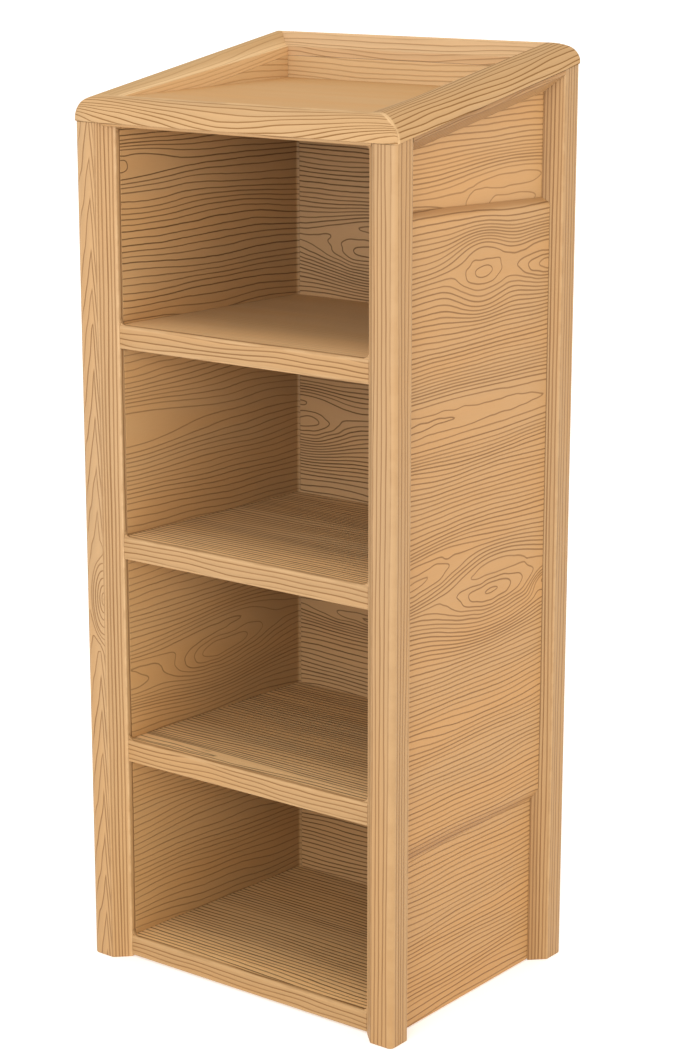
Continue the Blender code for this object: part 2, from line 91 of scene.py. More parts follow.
def finish_mesh(name, bm):
    bmesh.ops.recalc_face_normals(bm, faces=bm.faces[:])
    mesh = bpy.data.meshes.new(name)
    bm.to_mesh(mesh)
    bm.free()
    obj = bpy.data.objects.new(name, mesh)
    bpy.context.scene.collection.objects.link(obj)
    return obj


def loft(name, loops, grain=None, hub=None):
    """Closed solid through rings of points (x, y, z[, edge paleness[, shade]]); grain holds (u, s) for each point,
    hub a point the ends fan from. Edge paleness is partly abrasion and partly painted highlight; shade is painted
    shade above zero and painted light below zero.
    """
    bm = bmesh.new()
    edge_wear_and_highlight = bm.verts.layers.float.new("wear_and_highlight")
    painted_light_and_shade = bm.verts.layers.float.new("shade")
    run = bm.verts.layers.float_vector.new("grain") if grain else None
    rings = []
    for k, loop in enumerate(loops):
        ring = []
        for i, p in enumerate(loop):
            v = bm.verts.new(world(*p[:3]))
            v[edge_wear_and_highlight] = p[3] if len(p) > 3 else 0.0
            v[painted_light_and_shade] = p[4] if len(p) > 4 else 0.0
            if grain:
                v[run] = (*grain[k][i], 0.0)
            ring.append(v)
        rings.append(ring)
    count = len(rings[0])
    for low, high in zip(rings, rings[1:]):
        for i in range(count):
            j = (i + 1) % count
            bm.faces.new((low[i], low[j], high[j], high[i]))
    if hub is None:
        bm.faces.new(list(reversed(rings[0])))
        bm.faces.new(rings[-1])
    else:
        for k in range(hub + 1, hub + count - 1):
            i, j = k % count, (k + 1) % count
            bm.faces.new((rings[0][hub], rings[0][j], rings[0][i]))
            bm.faces.new((rings[-1][hub], rings[-1][i], rings[-1][j]))
    return finish_mesh(name, bm)


def outline(points, steps=7, keep=2.0):
    """Outline of corners (u, v, radius, edge paleness, shade) with arcs at the corners; gives (u, v, edge paleness,
    shade). Edge paleness is partly abrasion and partly painted highlight; shade is painted shade above zero and
    painted light below zero.
    """
    count = len(points)
    reach, spans = [], []
    for i in range(count):
        u, v, radius = points[i][:3]
        here = Vector((u, v))
        before = Vector(points[i - 1][:2]) - here
        after = Vector(points[(i + 1) % count][:2]) - here
        half = before.angle(after) / 2
        reach.append(radius / math.tan(half) if radius > 0 else 0.0)
        spans.append(after.length)
    out = []
    for i in range(count):
        u, v, radius = points[i][:3]
        edge_wear_and_highlight = points[i][3] if len(points[i]) > 3 else 0.0
        painted_light_and_shade = points[i][4] if len(points[i]) > 4 else 0.0
        here = Vector((u, v))
        before = (Vector(points[i - 1][:2]) - here).normalized()
        after = (Vector(points[(i + 1) % count][:2]) - here).normalized()
        free_in = spans[i - 1] - reach[i - 1] - reach[i]
        free_out = spans[i] - reach[i] - reach[(i + 1) % count]
        if radius > 0 and free_in > 2.4 * keep:
            p = here + before * (reach[i] + keep)
            out.append((p.x, p.y, 0.0, painted_light_and_shade))
        if radius <= 0:
            out.append((u, v, edge_wear_and_highlight, painted_light_and_shade))
        else:
            half = before.angle(after) / 2
            centre = here + (before + after).normalized() * (radius / math.sin(half))
            start = here + before * reach[i] - centre
            end = here + after * reach[i] - centre
            turn = start.angle_signed(end)
            for k in range(steps + 1):
                a = -turn * k / steps
                c, s = math.cos(a), math.sin(a)
                out.append((centre.x + start.x * c - start.y * s, centre.y + start.x * s + start.y * c, edge_wear_and_highlight, painted_light_and_shade))
        if radius > 0 and free_out > 2.4 * keep:
            p = here + after * (reach[i] + keep)
            out.append((p.x, p.y, 0.0, painted_light_and_shade))
    return out


def mirrored(points, side):
    return [((x if side == "left" else WIDTH - x), *rest) for x, *rest in points]


def box(name, x0, x1, y0, y1, z0, z1):
    low = [(x0, y0, z0), (x1, y0, z0), (x1, y1, z0), (x0, y1, z0)]
    return loft(name, [low, [(x, y, z1) for x, y, _ in low]])


def combine(obj, other, operation="DIFFERENCE"):
    step = obj.modifiers.new("combine", "BOOLEAN")
    step.operation = operation
    step.solver = "EXACT"
    step.object = other
    bpy.context.view_layer.update()
    graph = bpy.context.evaluated_depsgraph_get()
    mesh = bpy.data.meshes.new_from_object(obj.evaluated_get(graph))
    obj.modifiers.clear()
    old = obj.data
    obj.data = mesh
    bpy.data.meshes.remove(old)
    used = other.data
    bpy.data.objects.remove(other, do_unlink=True)
    bpy.data.meshes.remove(used)


def ease(obj, chosen, width, segments=3):
    bm = bmesh.new()
    bm.from_mesh(obj.data)

    def plain(v):
        return (v.co.x / MM + WIDTH / 2, v.co.y / MM + DEPTH / 2, v.co.z / MM)

    edges = [e for e in bm.edges if chosen(plain(e.verts[0]), plain(e.verts[1]))]
    bmesh.ops.bevel(
        bm, geom=edges, offset=width * MM, segments=segments, profile=0.5, affect="EDGES", clamp_overlap=True
    )
    bmesh.ops.recalc_face_normals(bm, faces=bm.faces[:])
    bm.to_mesh(obj.data)
    bm.free()


def turned(name, start, axis, profile, steps=24):
    axis = Vector(axis).normalized()
    aside = axis.orthogonal().normalized()
    across = axis.cross(aside)
    loops = []
    for along, radius in profile:
        centre = Vector(start) + axis * along
        ring = []
        for k in range(steps):
            a = 2 * math.pi * k / steps
            p = centre + (aside * math.cos(a) + across * math.sin(a)) * radius
            ring.append((p.x, p.y, p.z))
        loops.append(ring)
    return loft(name, loops)


def cylinder(name, start, end, radius, steps=24):
    span = Vector(end) - Vector(start)
    return turned(name, start, span, [(0.0, radius), (span.length, radius)], steps)


def at_bottom(a, b):
    return abs(a[2]) < 0.01 and abs(b[2]) < 0.01


# ---------------------------------------------------------------- posts and sides


def panel_groove(obj, side, y0, y1):
    x0, x1 = PANEL_FACE - GAP, PANEL_TONGUE + GAP
    if side == "right":
        x0, x1 = WIDTH - x1, WIDTH - x0
    combine(obj, box("cut", x0, x1, y0, y1, -5, 1200))


def post_rings(plan, deep=0.0, clear=0.0):
    """Rings up the post; deep multiplies the painted shade on the chamfer beside the panel's upper and lower fields,
    where they lie recessed.
    """
    levels = []
    for z in (0.0, 206.0):
        levels.append([(x, y, z, w, d * (1 + 0.9 * deep)) for x, y, w, d in plan])
    for z in (226.0, 520.0, 780.0, 928.0):
        levels.append([(x, y, z, w, d) for x, y, w, d in plan])
    for z in (946.0, None):
        levels.append([(x, y, z or rim_under(y) - GAP - clear, w, d * (1 + deep)) for x, y, w, d in plan])
    return levels


def front_post(side):
    right = side == "right"
    # fourth values: pale rounded edges, partly abrasion and partly painted highlight; fifth values: painted shade on
    # the right post's front face, painted light (below zero) on the left post's front corner and on both chamfers
    # toward the opening
    plan = outline(
        [
            (0, 0, POST_ROUND, 0.35, 0.08 if right else 0.0),
            (POST_FACE, 0, 3.0, 0.2, 0.12 if right else -0.2),
            (POST_END, POST_FRONT_SET, 2.5, 1.0, -0.42),
            (POST_END, POST_NOSE, 0),
            (POST_INNER, POST_NOSE, 0),
            (POST_INNER, POST_END, 0),
            (POST_SIDE_SET, POST_END, 0),
            (0, POST_FACE, 3.0, 0.5),
        ]
    )
    obj = loft(f"Post_front_{side}", post_rings(mirrored(plan, side), 0.0, 0.5))
    ease(obj, at_bottom, 1.5)
    panel_groove(obj, side, GROOVE_END, POST_END + 5)
    return obj


def rear_post(side):
    back = DEPTH - POST_FACE
    # fourth values: pale rounded edges, partly abrasion and partly painted highlight; fifth values: painted shade on
    # the chamfer, darker toward the panel
    plan = outline(
        [
            (0, DEPTH, POST_ROUND, 0.4),
            (0, back, 3.0, 0.6),
            (POST_SIDE_SET * 0.30, back - POST_CHAMFER * 0.30, 0, 0.0, 0.04),
            (POST_SIDE_SET * 0.56, back - POST_CHAMFER * 0.56, 0, 0.0, 0.06),
            (POST_SIDE_SET * 0.68, back - POST_CHAMFER * 0.68, 0, 0.0, 0.2),
            (POST_SIDE_SET, DEPTH - POST_END, 0, 0.0, 0.22),
            (POST_INNER, DEPTH - POST_END, 0),
            (POST_INNER, DEPTH, 2.5, 0.4),
        ]
    )
    obj = loft(f"Post_rear_{side}", post_rings(mirrored(plan, side), 2.0))
    ease(obj, at_bottom, 1.5)
    panel_groove(obj, side, DEPTH - POST_END - 5, DEPTH - GROOVE_END)
    return obj


def shelf_levels():
    levels = [(FOOT, BASE_TOP)]
    for k in range(3):
        low = SHELF_FIRST + k * SHELF_PITCH
        levels.append((low, low + NOSING_HIGH))
    return levels


def case_side(side):
    front, back, cove = POST_NOSE + GAP, CASE_BACK, 3.2
    corner = wall_face(back)
    # the third values make the rounded cove at the back corner pale: a painted highlight along it
    plan = [
        (wall_face(front), front, 0.0),
        (wall_face(back - cove - 1.2), back - cove - 1.2, 0.0),
        (wall_face(back - cove), back - cove, 0.9),
        (corner + cove * 0.07, back - cove * 0.62, 1.0),
        (corner + cove * 0.29, back - cove * 0.29, 1.0),
        (corner + cove * 0.62, back - cove * 0.07, 1.0),
        (corner + cove, back, 1.0),
        (POST_INNER + GAP, back, 0.0),
        (POST_INNER + GAP, front, 0.0),
    ]
    plan = mirrored(plan, side)
    obj = loft(
        f"Inner_side_{side}",
        [[(x, y, FOOT, w) for x, y, w in plan], [(x, y, rim_under(y) - GAP, w) for x, y, w in plan]],
    )
    y0, y1 = POST_FRONT_SET + NOSING_DEEP - 8.2, back + 5
    house = mirrored(
        [
            (wall_face(y0) - DADO, y0),
            (wall_face(y0) + 5, y0),
            (wall_face(y1) + 5, y1),
            (wall_face(y1) - DADO, y1),
        ],
        side,
    )
    for low, top in shelf_levels():
        combine(
            obj, loft("cut", [[(x, y, z) for x, y in house] for z in (top - SHELF_THICK - GAP, top + GAP)])
        )
    seat = mirrored([(TRAY_SIDE, 20.0), (90.0, 20.0), (90.0, back + 5), (TRAY_SIDE, back + 5)], side)
    combine(
        obj,
        loft(
            "cut",
            [
                [(x, y, tray_top(y) - TRAY_THICK - GAP) for x, y in seat],
                [(x, y, 1200.0) for x, y in seat],
            ],
        ),
    )
    return obj


def rail_end(x):
    """Where the front end of the side rail's outer part stops: it is cut to the slope of the post's chamfer."""
    return POST_FACE + x * POST_CHAMFER / POST_SIDE_SET + 0.5


def side_rail(side):
    y0, y1 = POST_END + 0.5, DEPTH - POST_END - 0.5
    inner = [
        (17.7, -GAP - 0.45),
        (PANEL_BACK, -GAP - 0.45),
        (PANEL_BACK, -24.0),
        (PANEL_TONGUE + GAP, -24.0),
        (PANEL_TONGUE + GAP, -15.0),
        (PANEL_FACE - GAP, -15.0),
        (PANEL_FACE - GAP, -21.0),
        (17.7, -21.0),
    ]
    inner = mirrored(inner, side)
    # the inner part and the chamfer carry painted shade, as the rail lies under the rim
    obj = loft(f"Side_rail_{side}", [[(x, y, rim_under(y) + dz, 0.0, 0.9) for x, dz in inner] for y in (y0, y1)])
    outer = outline(
        [
            (0, -GAP - 0.45, 0),
            (18.1, -GAP - 0.45, 0),
            (18.1, -21.0, 0, 0.0, 1.0),
            (POST_SIDE_SET, -21.0, 0, 0.0, 1.0),
            (POST_SIDE_SET * 0.22, -5.5 - 15.5 * 0.22, 0, 0.0, 0.9),
            (0, -5.5, 2.0, 0.3),
        ]
    )
    loops = []
    for end in (rail_end, lambda x: DEPTH - rail_end(x)):
        ring = [(x, end(x), rim_under(end(x)) + dz, w, d) for x, dz, w, d in outer]
        loops.append(mirrored(ring, side))
    combine(obj, loft("outer", loops), "UNION")
    corners = mirrored([(PANEL_FACE, 0), (PANEL_TONGUE, 0)], side)
    xa, xb = corners[0][0], corners[1][0]
    for ya, yb in ((GROOVE_END + GAP, y0 + 3), (y1 - 3, DEPTH - GROOVE_END - GAP)):
        tenon = loft(
            "tenon",
            [
                [
                    (xa, y, rim_under(y) - 14.6),
                    (xb, y, rim_under(y) - 14.6),
                    (xb, y, rim_under(y) - 3.0),
                    (xa, y, rim_under(y) - 3.0),
                ]
                for y in (ya, yb)
            ],
        )
        combine(obj, tenon, "UNION")
    return obj


def side_panel(side):
    def slab(x0, x1, y0, y1, drop):
        xs = [p[0] for p in mirrored([(x0, 0), (x1, 0)], side)]
        return [
            [(x, y0, FOOT), (x, y1, FOOT), (x, y1, rim_under(y1) - drop), (x, y0, rim_under(y0) - drop)] for x in xs
        ]

    obj = loft(
        f"Side_panel_{side}",
        slab(PANEL_FACE, PANEL_TONGUE, GROOVE_END + GAP, DEPTH - GROOVE_END - GAP, 15.0 + GAP),
    )
    thick = loft("thick", slab(PANEL_TONGUE - 2, PANEL_BACK, POST_END + GAP, DEPTH - POST_END - GAP, 24.0 + GAP))
    combine(obj, thick, "UNION")
    return obj


def raised_panel(side):
    """Rings from the back of the panel over the bevel, which carries painted shade, and the rounded arris to the
    face.
    """
    edge_face = POST_FACE + RAISED_FACE * POST_CHAMFER / POST_SIDE_SET + 0.5
    edge_foot = POST_END + 0.5

    def bend(a, b, c, t):
        return a * (1 - t) ** 2 + 2 * b * t * (1 - t) + c * t * t

    def slope(t):
        return POST_SIDE_SET + (RAISED_FACE - POST_SIDE_SET) * t

    def inset(t):
        return edge_foot + (edge_face - edge_foot) * t

    rings = [(PANEL_FACE - GAP, edge_foot, 0.0, 1.0)]
    for t, d in ((0.0, 1.0), (0.12, 1.0), (0.3, 0.95), (0.5, 0.8), (0.62, 0.68)):
        rings.append((slope(t), inset(t), t, d))
    for k in range(1, 7):
        t = k / 6
        rings.append(
            (
                bend(slope(0.62), RAISED_FACE, RAISED_FACE, t),
                bend(inset(0.62), edge_face, edge_face + 2.0, t),
                bend(0.62, 1.0, 1.38, t),
                0.68 * (1 - t) ** 1.3,
            )
        )
    rings.append((RAISED_FACE, edge_face + 4.0, 1.8, 0.0))
    loops = []
    for x, side_y, t, d in rings:
        x = x if side == "left" else WIDTH - x
        low = [a + (b - a) * t for a, b in zip(RAISED_FOOT, RAISED_LOW)]
        high = [a + (b - a) * t for a, b in zip(RAISED_HEAD, RAISED_HIGH)]
        near, far = side_y, DEPTH - side_y
        loops.append(
            [
                (x, near, low[0], 0.0, d),
                (x, far, low[1], 0.0, d),
                (x, far, high[1], 0.0, d),
                (x, near, high[0], 0.0, d),
            ]
        )
    return loft(f"Raised_panel_{side}", loops)


# ---------------------------------------------------------------- back, shelves


def back_panel():
    side = POST_INNER + GAP
    top = rim_under(BACK_FRONT) - 0.5
    obj = box("Back_panel", side, WIDTH - side, BACK_FRONT, BACK_REAR, FOOT, top)
    ease(obj, lambda a, b: abs(a[1] - BACK_REAR) < 0.01 and abs(b[1] - BACK_REAR) < 0.01, 0.8, 3)
    return obj


def nosing(name, low, top):
    y0, y1 = POST_FRONT_SET, POST_FRONT_SET + NOSING_DEEP
    # the fourth values and the webs' 1.0 make rounded edges pale: partly abrasion, partly painted highlight
    section = outline(
        [
            (y0, low, 2.6, 0.5),
            (y0, top, 3.0, 0.7),
            (y1, top, 0),
            (y1, top - 6.0 + GAP, 0),
            (y1 - 8.0, top - 6.0 + GAP, 0),
            (y1 - 8.0, top - 12.0 - GAP, 0),
            (y1, top - 12.0 - GAP, 0),
            (y1, low, 0),
        ]
    )
    obj = loft(
        name,
        [
            [(wall_face(y) + GAP, y, z, w) for y, z, w, _ in section],
            [(WIDTH - wall_face(y) - GAP, y, z, w) for y, z, w, _ in section],
        ],
    )
    for side in ("left", "right"):
        radius = 7.0
        x = POST_END + GAP + 0.3
        shape = [(x, top - 4.0), (x + radius, top - 4.0)]
        for k in range(13):
            a = math.pi / 2 * k / 12
            shape.append((x + radius - radius * math.sin(a), top + radius - radius * math.cos(a)))
        shape = mirrored(shape, side)
        web = loft("web", [[(u, y, v, 1.0) for u, v in shape] for y in (y0 + 1.2, y0 + 4.2)])
        combine(obj, web, "UNION")
    return obj


def shelf(name, top):
    y0, y1 = POST_FRONT_SET + NOSING_DEEP + GAP, BACK_FRONT - GAP
    section = [
        (y0, top - SHELF_THICK),
        (y0, top - 12.0),
        (y0 - 7.6, top - 12.0),
        (y0 - 7.6, top - 6.0),
        (y0, top - 6.0),
        (y0, top),
        (y1, top),
        (y1, top - SHELF_THICK),
    ]
    return loft(
        name,
        [
            [(wall_face(y) - DADO + GAP, y, z) for y, z in section],
            [(WIDTH - wall_face(y) + DADO - GAP, y, z) for y, z in section],
        ],
    )


# ---------------------------------------------------------------- top


def rim_profile():
    """(share of the width, height at the front corners, height at the back corners) round the section."""
    width = RIM_WIDE
    inner_y_back = DEPTH + RIM_OVER - RIM_BACK_WIDE
    inner_y_front = RIM_FRONT_WIDE - RIM_OVER
    arc = 34.0
    under_back = rim_under(DEPTH + RIM_OVER)
    rise_front = RIM_CREST_FRONT - (RIM_UNDER + 3.5)
    rise_back = RIM_CREST_BACK - (under_back + 3.0)
    points = [(0.35 / width, RIM_UNDER + 0.35, under_back + 0.35), (0.0, RIM_UNDER + 1.2, under_back + 1.2)]
    steps = 18
    for k in range(steps + 1):
        a = math.pi / 2 * k / steps
        points.append(
            (
                arc * (1 - math.cos(a)) / width,
                RIM_UNDER + 3.5 + rise_front * math.sin(a),
                under_back + 3.0 + rise_back * math.sin(a),
            )
        )
    drop_front = RIM_CREST_FRONT - TRAY_FRONT_Z - 0.4
    drop_back = RIM_CREST_BACK - (rim_under(inner_y_back) + 10.5)
    table = (
        (35.2, 0.0),
        (36.5, 0.0),
        (38.0, 0.035),
        (39.5, 0.12),
        (41.2, 0.27),
        (43.5, 0.47),
        (46.0, 0.66),
        (48.6, 0.81),
        (51.5, 0.93),
        (54.5, 1.0),
    )
    for k in range(len(table) - 1):
        (u0, f0), (u1, f1) = table[k], table[k + 1]
        before = table[max(k - 1, 0)]
        after = table[min(k + 2, len(table) - 1)]
        m0 = (u1 - u0) * (f1 - before[1]) / (u1 - before[0])
        m1 = (u1 - u0) * (after[1] - f0) / (after[0] - u0)
        for j in range(3):
            t = j / 3
            fall = (
                (2 * t**3 - 3 * t**2 + 1) * f0
                + (t**3 - 2 * t**2 + t) * m0
                + (3 * t**2 - 2 * t**3) * f1
                + (t**3 - t**2) * m1
            )
            fall = min(max(fall, 0.0), 1.0)
            u = u0 + (u1 - u0) * t
            points.append((u / width, RIM_CREST_FRONT - drop_front * fall, RIM_CREST_BACK - drop_back * fall))
    points.append((1.0, RIM_CREST_FRONT - drop_front, RIM_CREST_BACK - drop_back))
    points.append((1.0, rim_under(inner_y_front), rim_under(inner_y_back)))
    points.append((1.2 / width, RIM_UNDER, under_back))
    return points


def corner_reach(share):
    """How far the rounding of the plan's corner still reaches at this share of the rim's width, from 1 to 0."""
    return max(0.0, 1 - share * RIM_WIDE / RIM_ROUND)


def in_plan(x, y, share):
    """Point moved onto the rounded corner of the rim's plan where it lies beyond it."""
    low, right, high = -RIM_OVER, WIDTH + RIM_OVER, DEPTH + RIM_OVER
    round_x = RIM_ROUND
    round_y = RIM_ROUND * (RIM_FRONT_WIDE if y < DEPTH / 2 else RIM_BACK_WIDE) / RIM_WIDE
    cx = min(max(x, low + round_x), right - round_x)
    cy = min(max(y, low + round_y), high - round_y)
    away = Vector(((x - cx) / round_x, (y - cy) / round_y))
    if away.length > corner_reach(share):
        away = away.normalized() * corner_reach(share)
    return cx + away.x * round_x, cy + away.y * round_y


def rim(name):
    profile = rim_profile()
    front, back = [], []
    for share, z_front, z_back in profile:
        a = -RIM_OVER + share * RIM_WIDE
        # the front rim runs round the outer corner, so that the seam shows on the side
        wrap = 22.0 * max(0.0, 1 - share / 0.2) ** 2
        if name in ("left", "right"):
            reach = corner_reach(share)
            turned_by = reach * (wrap / RIM_ROUND) / (reach + wrap / RIM_ROUND) if wrap else 0.0
            shift = Vector((0, turned_by * RIM_ROUND * RIM_FRONT_WIDE / RIM_WIDE, 0))
        else:
            shift = Vector((-wrap, 0, 0))
        front.append(Vector((a, -RIM_OVER + share * RIM_FRONT_WIDE, z_front)) + shift)
        back.append(Vector((a, DEPTH + RIM_OVER - share * RIM_BACK_WIDE, z_back)))

    def across(p):
        return Vector((WIDTH - p.x, p.y, p.z))

    # only the seam at the front right corner has opened
    open_first, open_last = name == "right", name == "front"
    slip_first, slip_last = (0.35 if is_open else 0.12 for is_open in (open_first, open_last))
    if name == "front":
        ends = [p + Vector((slip_first, 0, 0)) for p in front], [across(p) - Vector((slip_last, 0, 0)) for p in front]
    elif name == "back":
        ends = [p + Vector((slip_first, 0, 0)) for p in back], [across(p) - Vector((slip_last, 0, 0)) for p in back]
    else:
        ends = (
            [p + Vector((0, slip_first / 2, 0)) for p in front],
            [p - Vector((0, slip_last / 2, 0)) for p in back],
        )
        if name == "right":
            ends = tuple([across(p) for p in end] for end in ends)
    first, last = ends
    steps = (0.0, 0.35, 0.9, 1.6, 2.6, 4.0, 5.5, 7.0, 9.0, 12.0, 20.0)
    middle = 14
    loops, grain = [], []
    offsets = [("a", s) for s in steps] + [("m", (k + 1) / (middle + 1)) for k in range(middle)]
    offsets += [("b", s) for s in reversed(steps)]
    crest = max(range(len(first)), key=lambda i: (round(first[i].z, 4), -abs(profile[i][0] - 0.48)))
    for kind, value in offsets:
        ring = []
        for p, q in zip(first, last):
            span = q - p
            length = span.length
            if kind == "a":
                t = value / length
            elif kind == "b":
                t = 1 - value / length
            else:
                t = (20.0 + (length - 40.0) * value) / length
            ring.append(p + span * t)
        centre = sum(ring, Vector()) / len(ring)
        edge_wear_and_highlight = 0.0
        # the open seam gets pale edges: a painted highlight along it
        if (kind == "a" and open_first) or (kind == "b" and open_last):
            sink = 0.55 if value < 0.1 else 0.16 if value < 0.5 else 0.0
            edge_wear_and_highlight = 1.0 if value < 2.0 else 0.5 if value < 3.0 else 0.0
            if sink:
                ring = [p + (centre - p).normalized() * sink for p in ring]
        pts, uv, s = [], [], 0.0
        lengths = [0.0]
        for p, q in zip(ring, ring[1:]):
            lengths.append(lengths[-1] + (q - p).length)
        for i, p in enumerate(ring):
            x, y = in_plan(p.x, p.y, profile[i][0])
            # the crest of the front and back rims is pale in streaks from rubbing
            share = profile[i][0]
            rub = 0.9 * math.exp(-(((share - 0.60) / 0.13) ** 2)) if name in ("front", "back") else 0.0
            # painted light on the inner slope of the left rim, which faces away from the light
            painted_light_on_slope = 0.75 * min(1.0, max(0.0, (share - 0.78) / 0.14)) if name == "left" else 0.0
            pts.append((x, y, p.z, max(edge_wear_and_highlight, rub), -painted_light_on_slope))
            along = p.x if name in ("front", "back") else p.y
            uv.append((along, lengths[i] - lengths[crest]))
        loops.append(pts)
        grain.append(uv)
    return loft(f"Rim_{name}", loops, grain, len(profile) - 2)


def header_rail():
    y0, y1 = 4.0, 44.0
    front_x = POST_FACE + y0 * POST_CHAMFER / POST_FRONT_SET + 0.9
    plan = [(front_x, y0), (POST_END + 0.6, POST_FRONT_SET), (wall_face(y1) + 0.4, y1)]
    plan = plan + [(WIDTH - x, y) for x, y in reversed(plan)]
    low = HEADER_LOW
    obj = loft(
        "Header_rail",
        [[(x, y, low) for x, y in plan], [(x, y, rim_under(y) - GAP) for x, y in plan]],
    )
    ease(
        obj,
        lambda a, b: abs(a[2] - low) < 0.01 and abs(b[2] - low) < 0.01 and a[1] < 4.1 and b[1] < 4.1,
        4.2,
        8,
    )
    step = [(y, z) for y in (24.5, y1 - 0.5) for z in (low + 3.0, tray_top(y) - TRAY_THICK - GAP)]
    step = [step[0], step[2], step[3], step[1]]
    combine(
        obj,
        loft("step", [[(x, y, z) for y, z in step] for x in (TRAY_SIDE + 0.5, WIDTH - TRAY_SIDE - 0.5)]),
        "UNION",
    )
    for side in ("left", "right"):
        radius = 8.0
        x = POST_END + 0.7
        web_line = [(x + radius, low + 3.0), (x, low + 3.0)]
        for k in range(13):
            a = math.pi / 2 * k / 12
            web_line.append((x + radius - radius * math.cos(a), low - radius + radius * math.sin(a)))
        web_line = mirrored(web_line, side)
        # the web's 0.9 makes it pale: partly abrasion, partly painted highlight
        web = loft(
            "web", [[(u, y, v, 0.9) for u, v in web_line] for y in (POST_FRONT_SET + 1.2, POST_FRONT_SET + 4.2)]
        )
        combine(obj, web, "UNION")
    return obj


def tray_floor():
    x0, x1 = TRAY_SIDE + GAP, WIDTH - TRAY_SIDE - GAP
    y0, y1 = 24.0 + GAP, BACK_FRONT - GAP
    section = outline(
        [
            (y0, tray_top(y0) - TRAY_THICK, 0),
            (y1, tray_top(y1) - TRAY_THICK, 0),
            (y1, tray_top(y1), 0),
            (y0, tray_top(y0), 1.0, 0.5),
        ],
        5,
    )
    return loft("Tray_floor", [[(x, y, z, w) for y, z, w, _ in section] for x in (x0, x1)])


# ---------------------------------------------------------------- holes for the hidden joinery


def dowel_hole(side, y, pieces):
    x = 17.0 if side == "left" else WIDTH - 17.0
    low, high = rim_under(y) - 22.0, rim_under(y) + 13.0
    for piece in pieces:
        combine(piece, cylinder("hole", (x, y, low - 0.5), (x, y, high + 0.5), 4.0 + GAP, 20))


def spline_slot(side, end, pieces):
    share = 0.50
    x = -RIM_OVER + share * RIM_WIDE
    if end == "front":
        y = -RIM_OVER + share * RIM_FRONT_WIDE
        along = Vector((RIM_WIDE, RIM_FRONT_WIDE, 0)).normalized()
    else:
        y = DEPTH + RIM_OVER - share * RIM_BACK_WIDE
        along = Vector((RIM_WIDE, -RIM_BACK_WIDE, 0)).normalized()
    z = rim_under(y) + 9.0
    if side == "right":
        x = WIDTH - x
        along.x = -along.x
    aside = Vector((-along.y, along.x, 0))
    for piece in pieces:
        loops = []
        for dz in (-2.0 - GAP, 2.0 + GAP):
            ring = []
            for su, sv in ((-1, -1), (1, -1), (1, 1), (-1, 1)):
                p = Vector((x, y, z + dz)) + along * (su * (8.0 + GAP)) + aside * (sv * (6.5 + GAP))
                ring.append((p.x, p.y, p.z))
            loops.append(ring)
        combine(piece, loft("slot", loops))


def screw_hole(side, z, pieces):
    x = 48.0 if side == "left" else WIDTH - 48.0
    start = (x, BACK_REAR - 0.2, z)
    clear = [(-3.0, 4.3), (0.6, 4.3), (2.9, 2.2), (22.3, 2.0), (26.4, 0.9)]
    for piece in pieces:
        combine(piece, turned("hole", start, (0, -1, 0), clear, 20))


# ---------------------------------------------------------------- materials


class Nodes:
    """Short way of writing node trees; every call gives an output socket."""

    def __init__(self, tree):
        self.tree = tree

    def new(self, kind, **values):
        node = self.tree.nodes.new(kind)
        for name, value in values.items():
            setattr(node, name, value)
        return node

    def put(self, value, socket):
        if isinstance(value, bpy.types.NodeSocket):
            self.tree.links.new(value, socket)
        else:
            socket.default_value = value

    def num(self, operation, *values, clamp=False):
        node = self.new("ShaderNodeMath", operation=operation, use_clamp=clamp)
        for value, socket in zip(values, node.inputs):
            self.put(value, socket)
        return node.outputs[0]

    def vec(self, operation, *values, scale=None):
        node = self.new("ShaderNodeVectorMath", operation=operation)
        for value, socket in zip(values, node.inputs):
            self.put(value, socket)
        if scale is not None:
            self.put(scale, node.inputs["Scale"])
        return node.outputs["Value" if operation in ("LENGTH", "DOT_PRODUCT", "DISTANCE") else "Vector"]

    def split(self, vector):
        node = self.new("ShaderNodeSeparateXYZ")
        self.put(vector, node.inputs[0])
        return node.outputs

    def join(self, x, y, z):
        node = self.new("ShaderNodeCombineXYZ")
        for value, socket in zip((x, y, z), node.inputs):
            self.put(value, socket)
        return node.outputs[0]

    def noise(self, vector, detail=1.0, rough=0.5):
        node = self.new("ShaderNodeTexNoise", noise_dimensions="3D")
        self.put(vector, node.inputs["Vector"])
        node.inputs["Scale"].default_value = 1.0
        node.inputs["Detail"].default_value = detail
        node.inputs["Roughness"].default_value = rough
        return node.outputs[0]

    def remap(self, value, a, b, c, d, smooth=False):
        node = self.new("ShaderNodeMapRange", interpolation_type="SMOOTHSTEP" if smooth else "LINEAR", clamp=True)
        for x, socket in zip((value, a, b, c, d), node.inputs):
            self.put(x, socket)
        return node.outputs[0]

    def blend(self, share, a, b, mode="MIX"):
        node = self.new("ShaderNodeMix", data_type="RGBA", blend_type=mode, clamp_factor=True)
        self.put(share, node.inputs[0])
        self.put(a, node.inputs[6])
        self.put(b, node.inputs[7])
        return node.outputs[2]


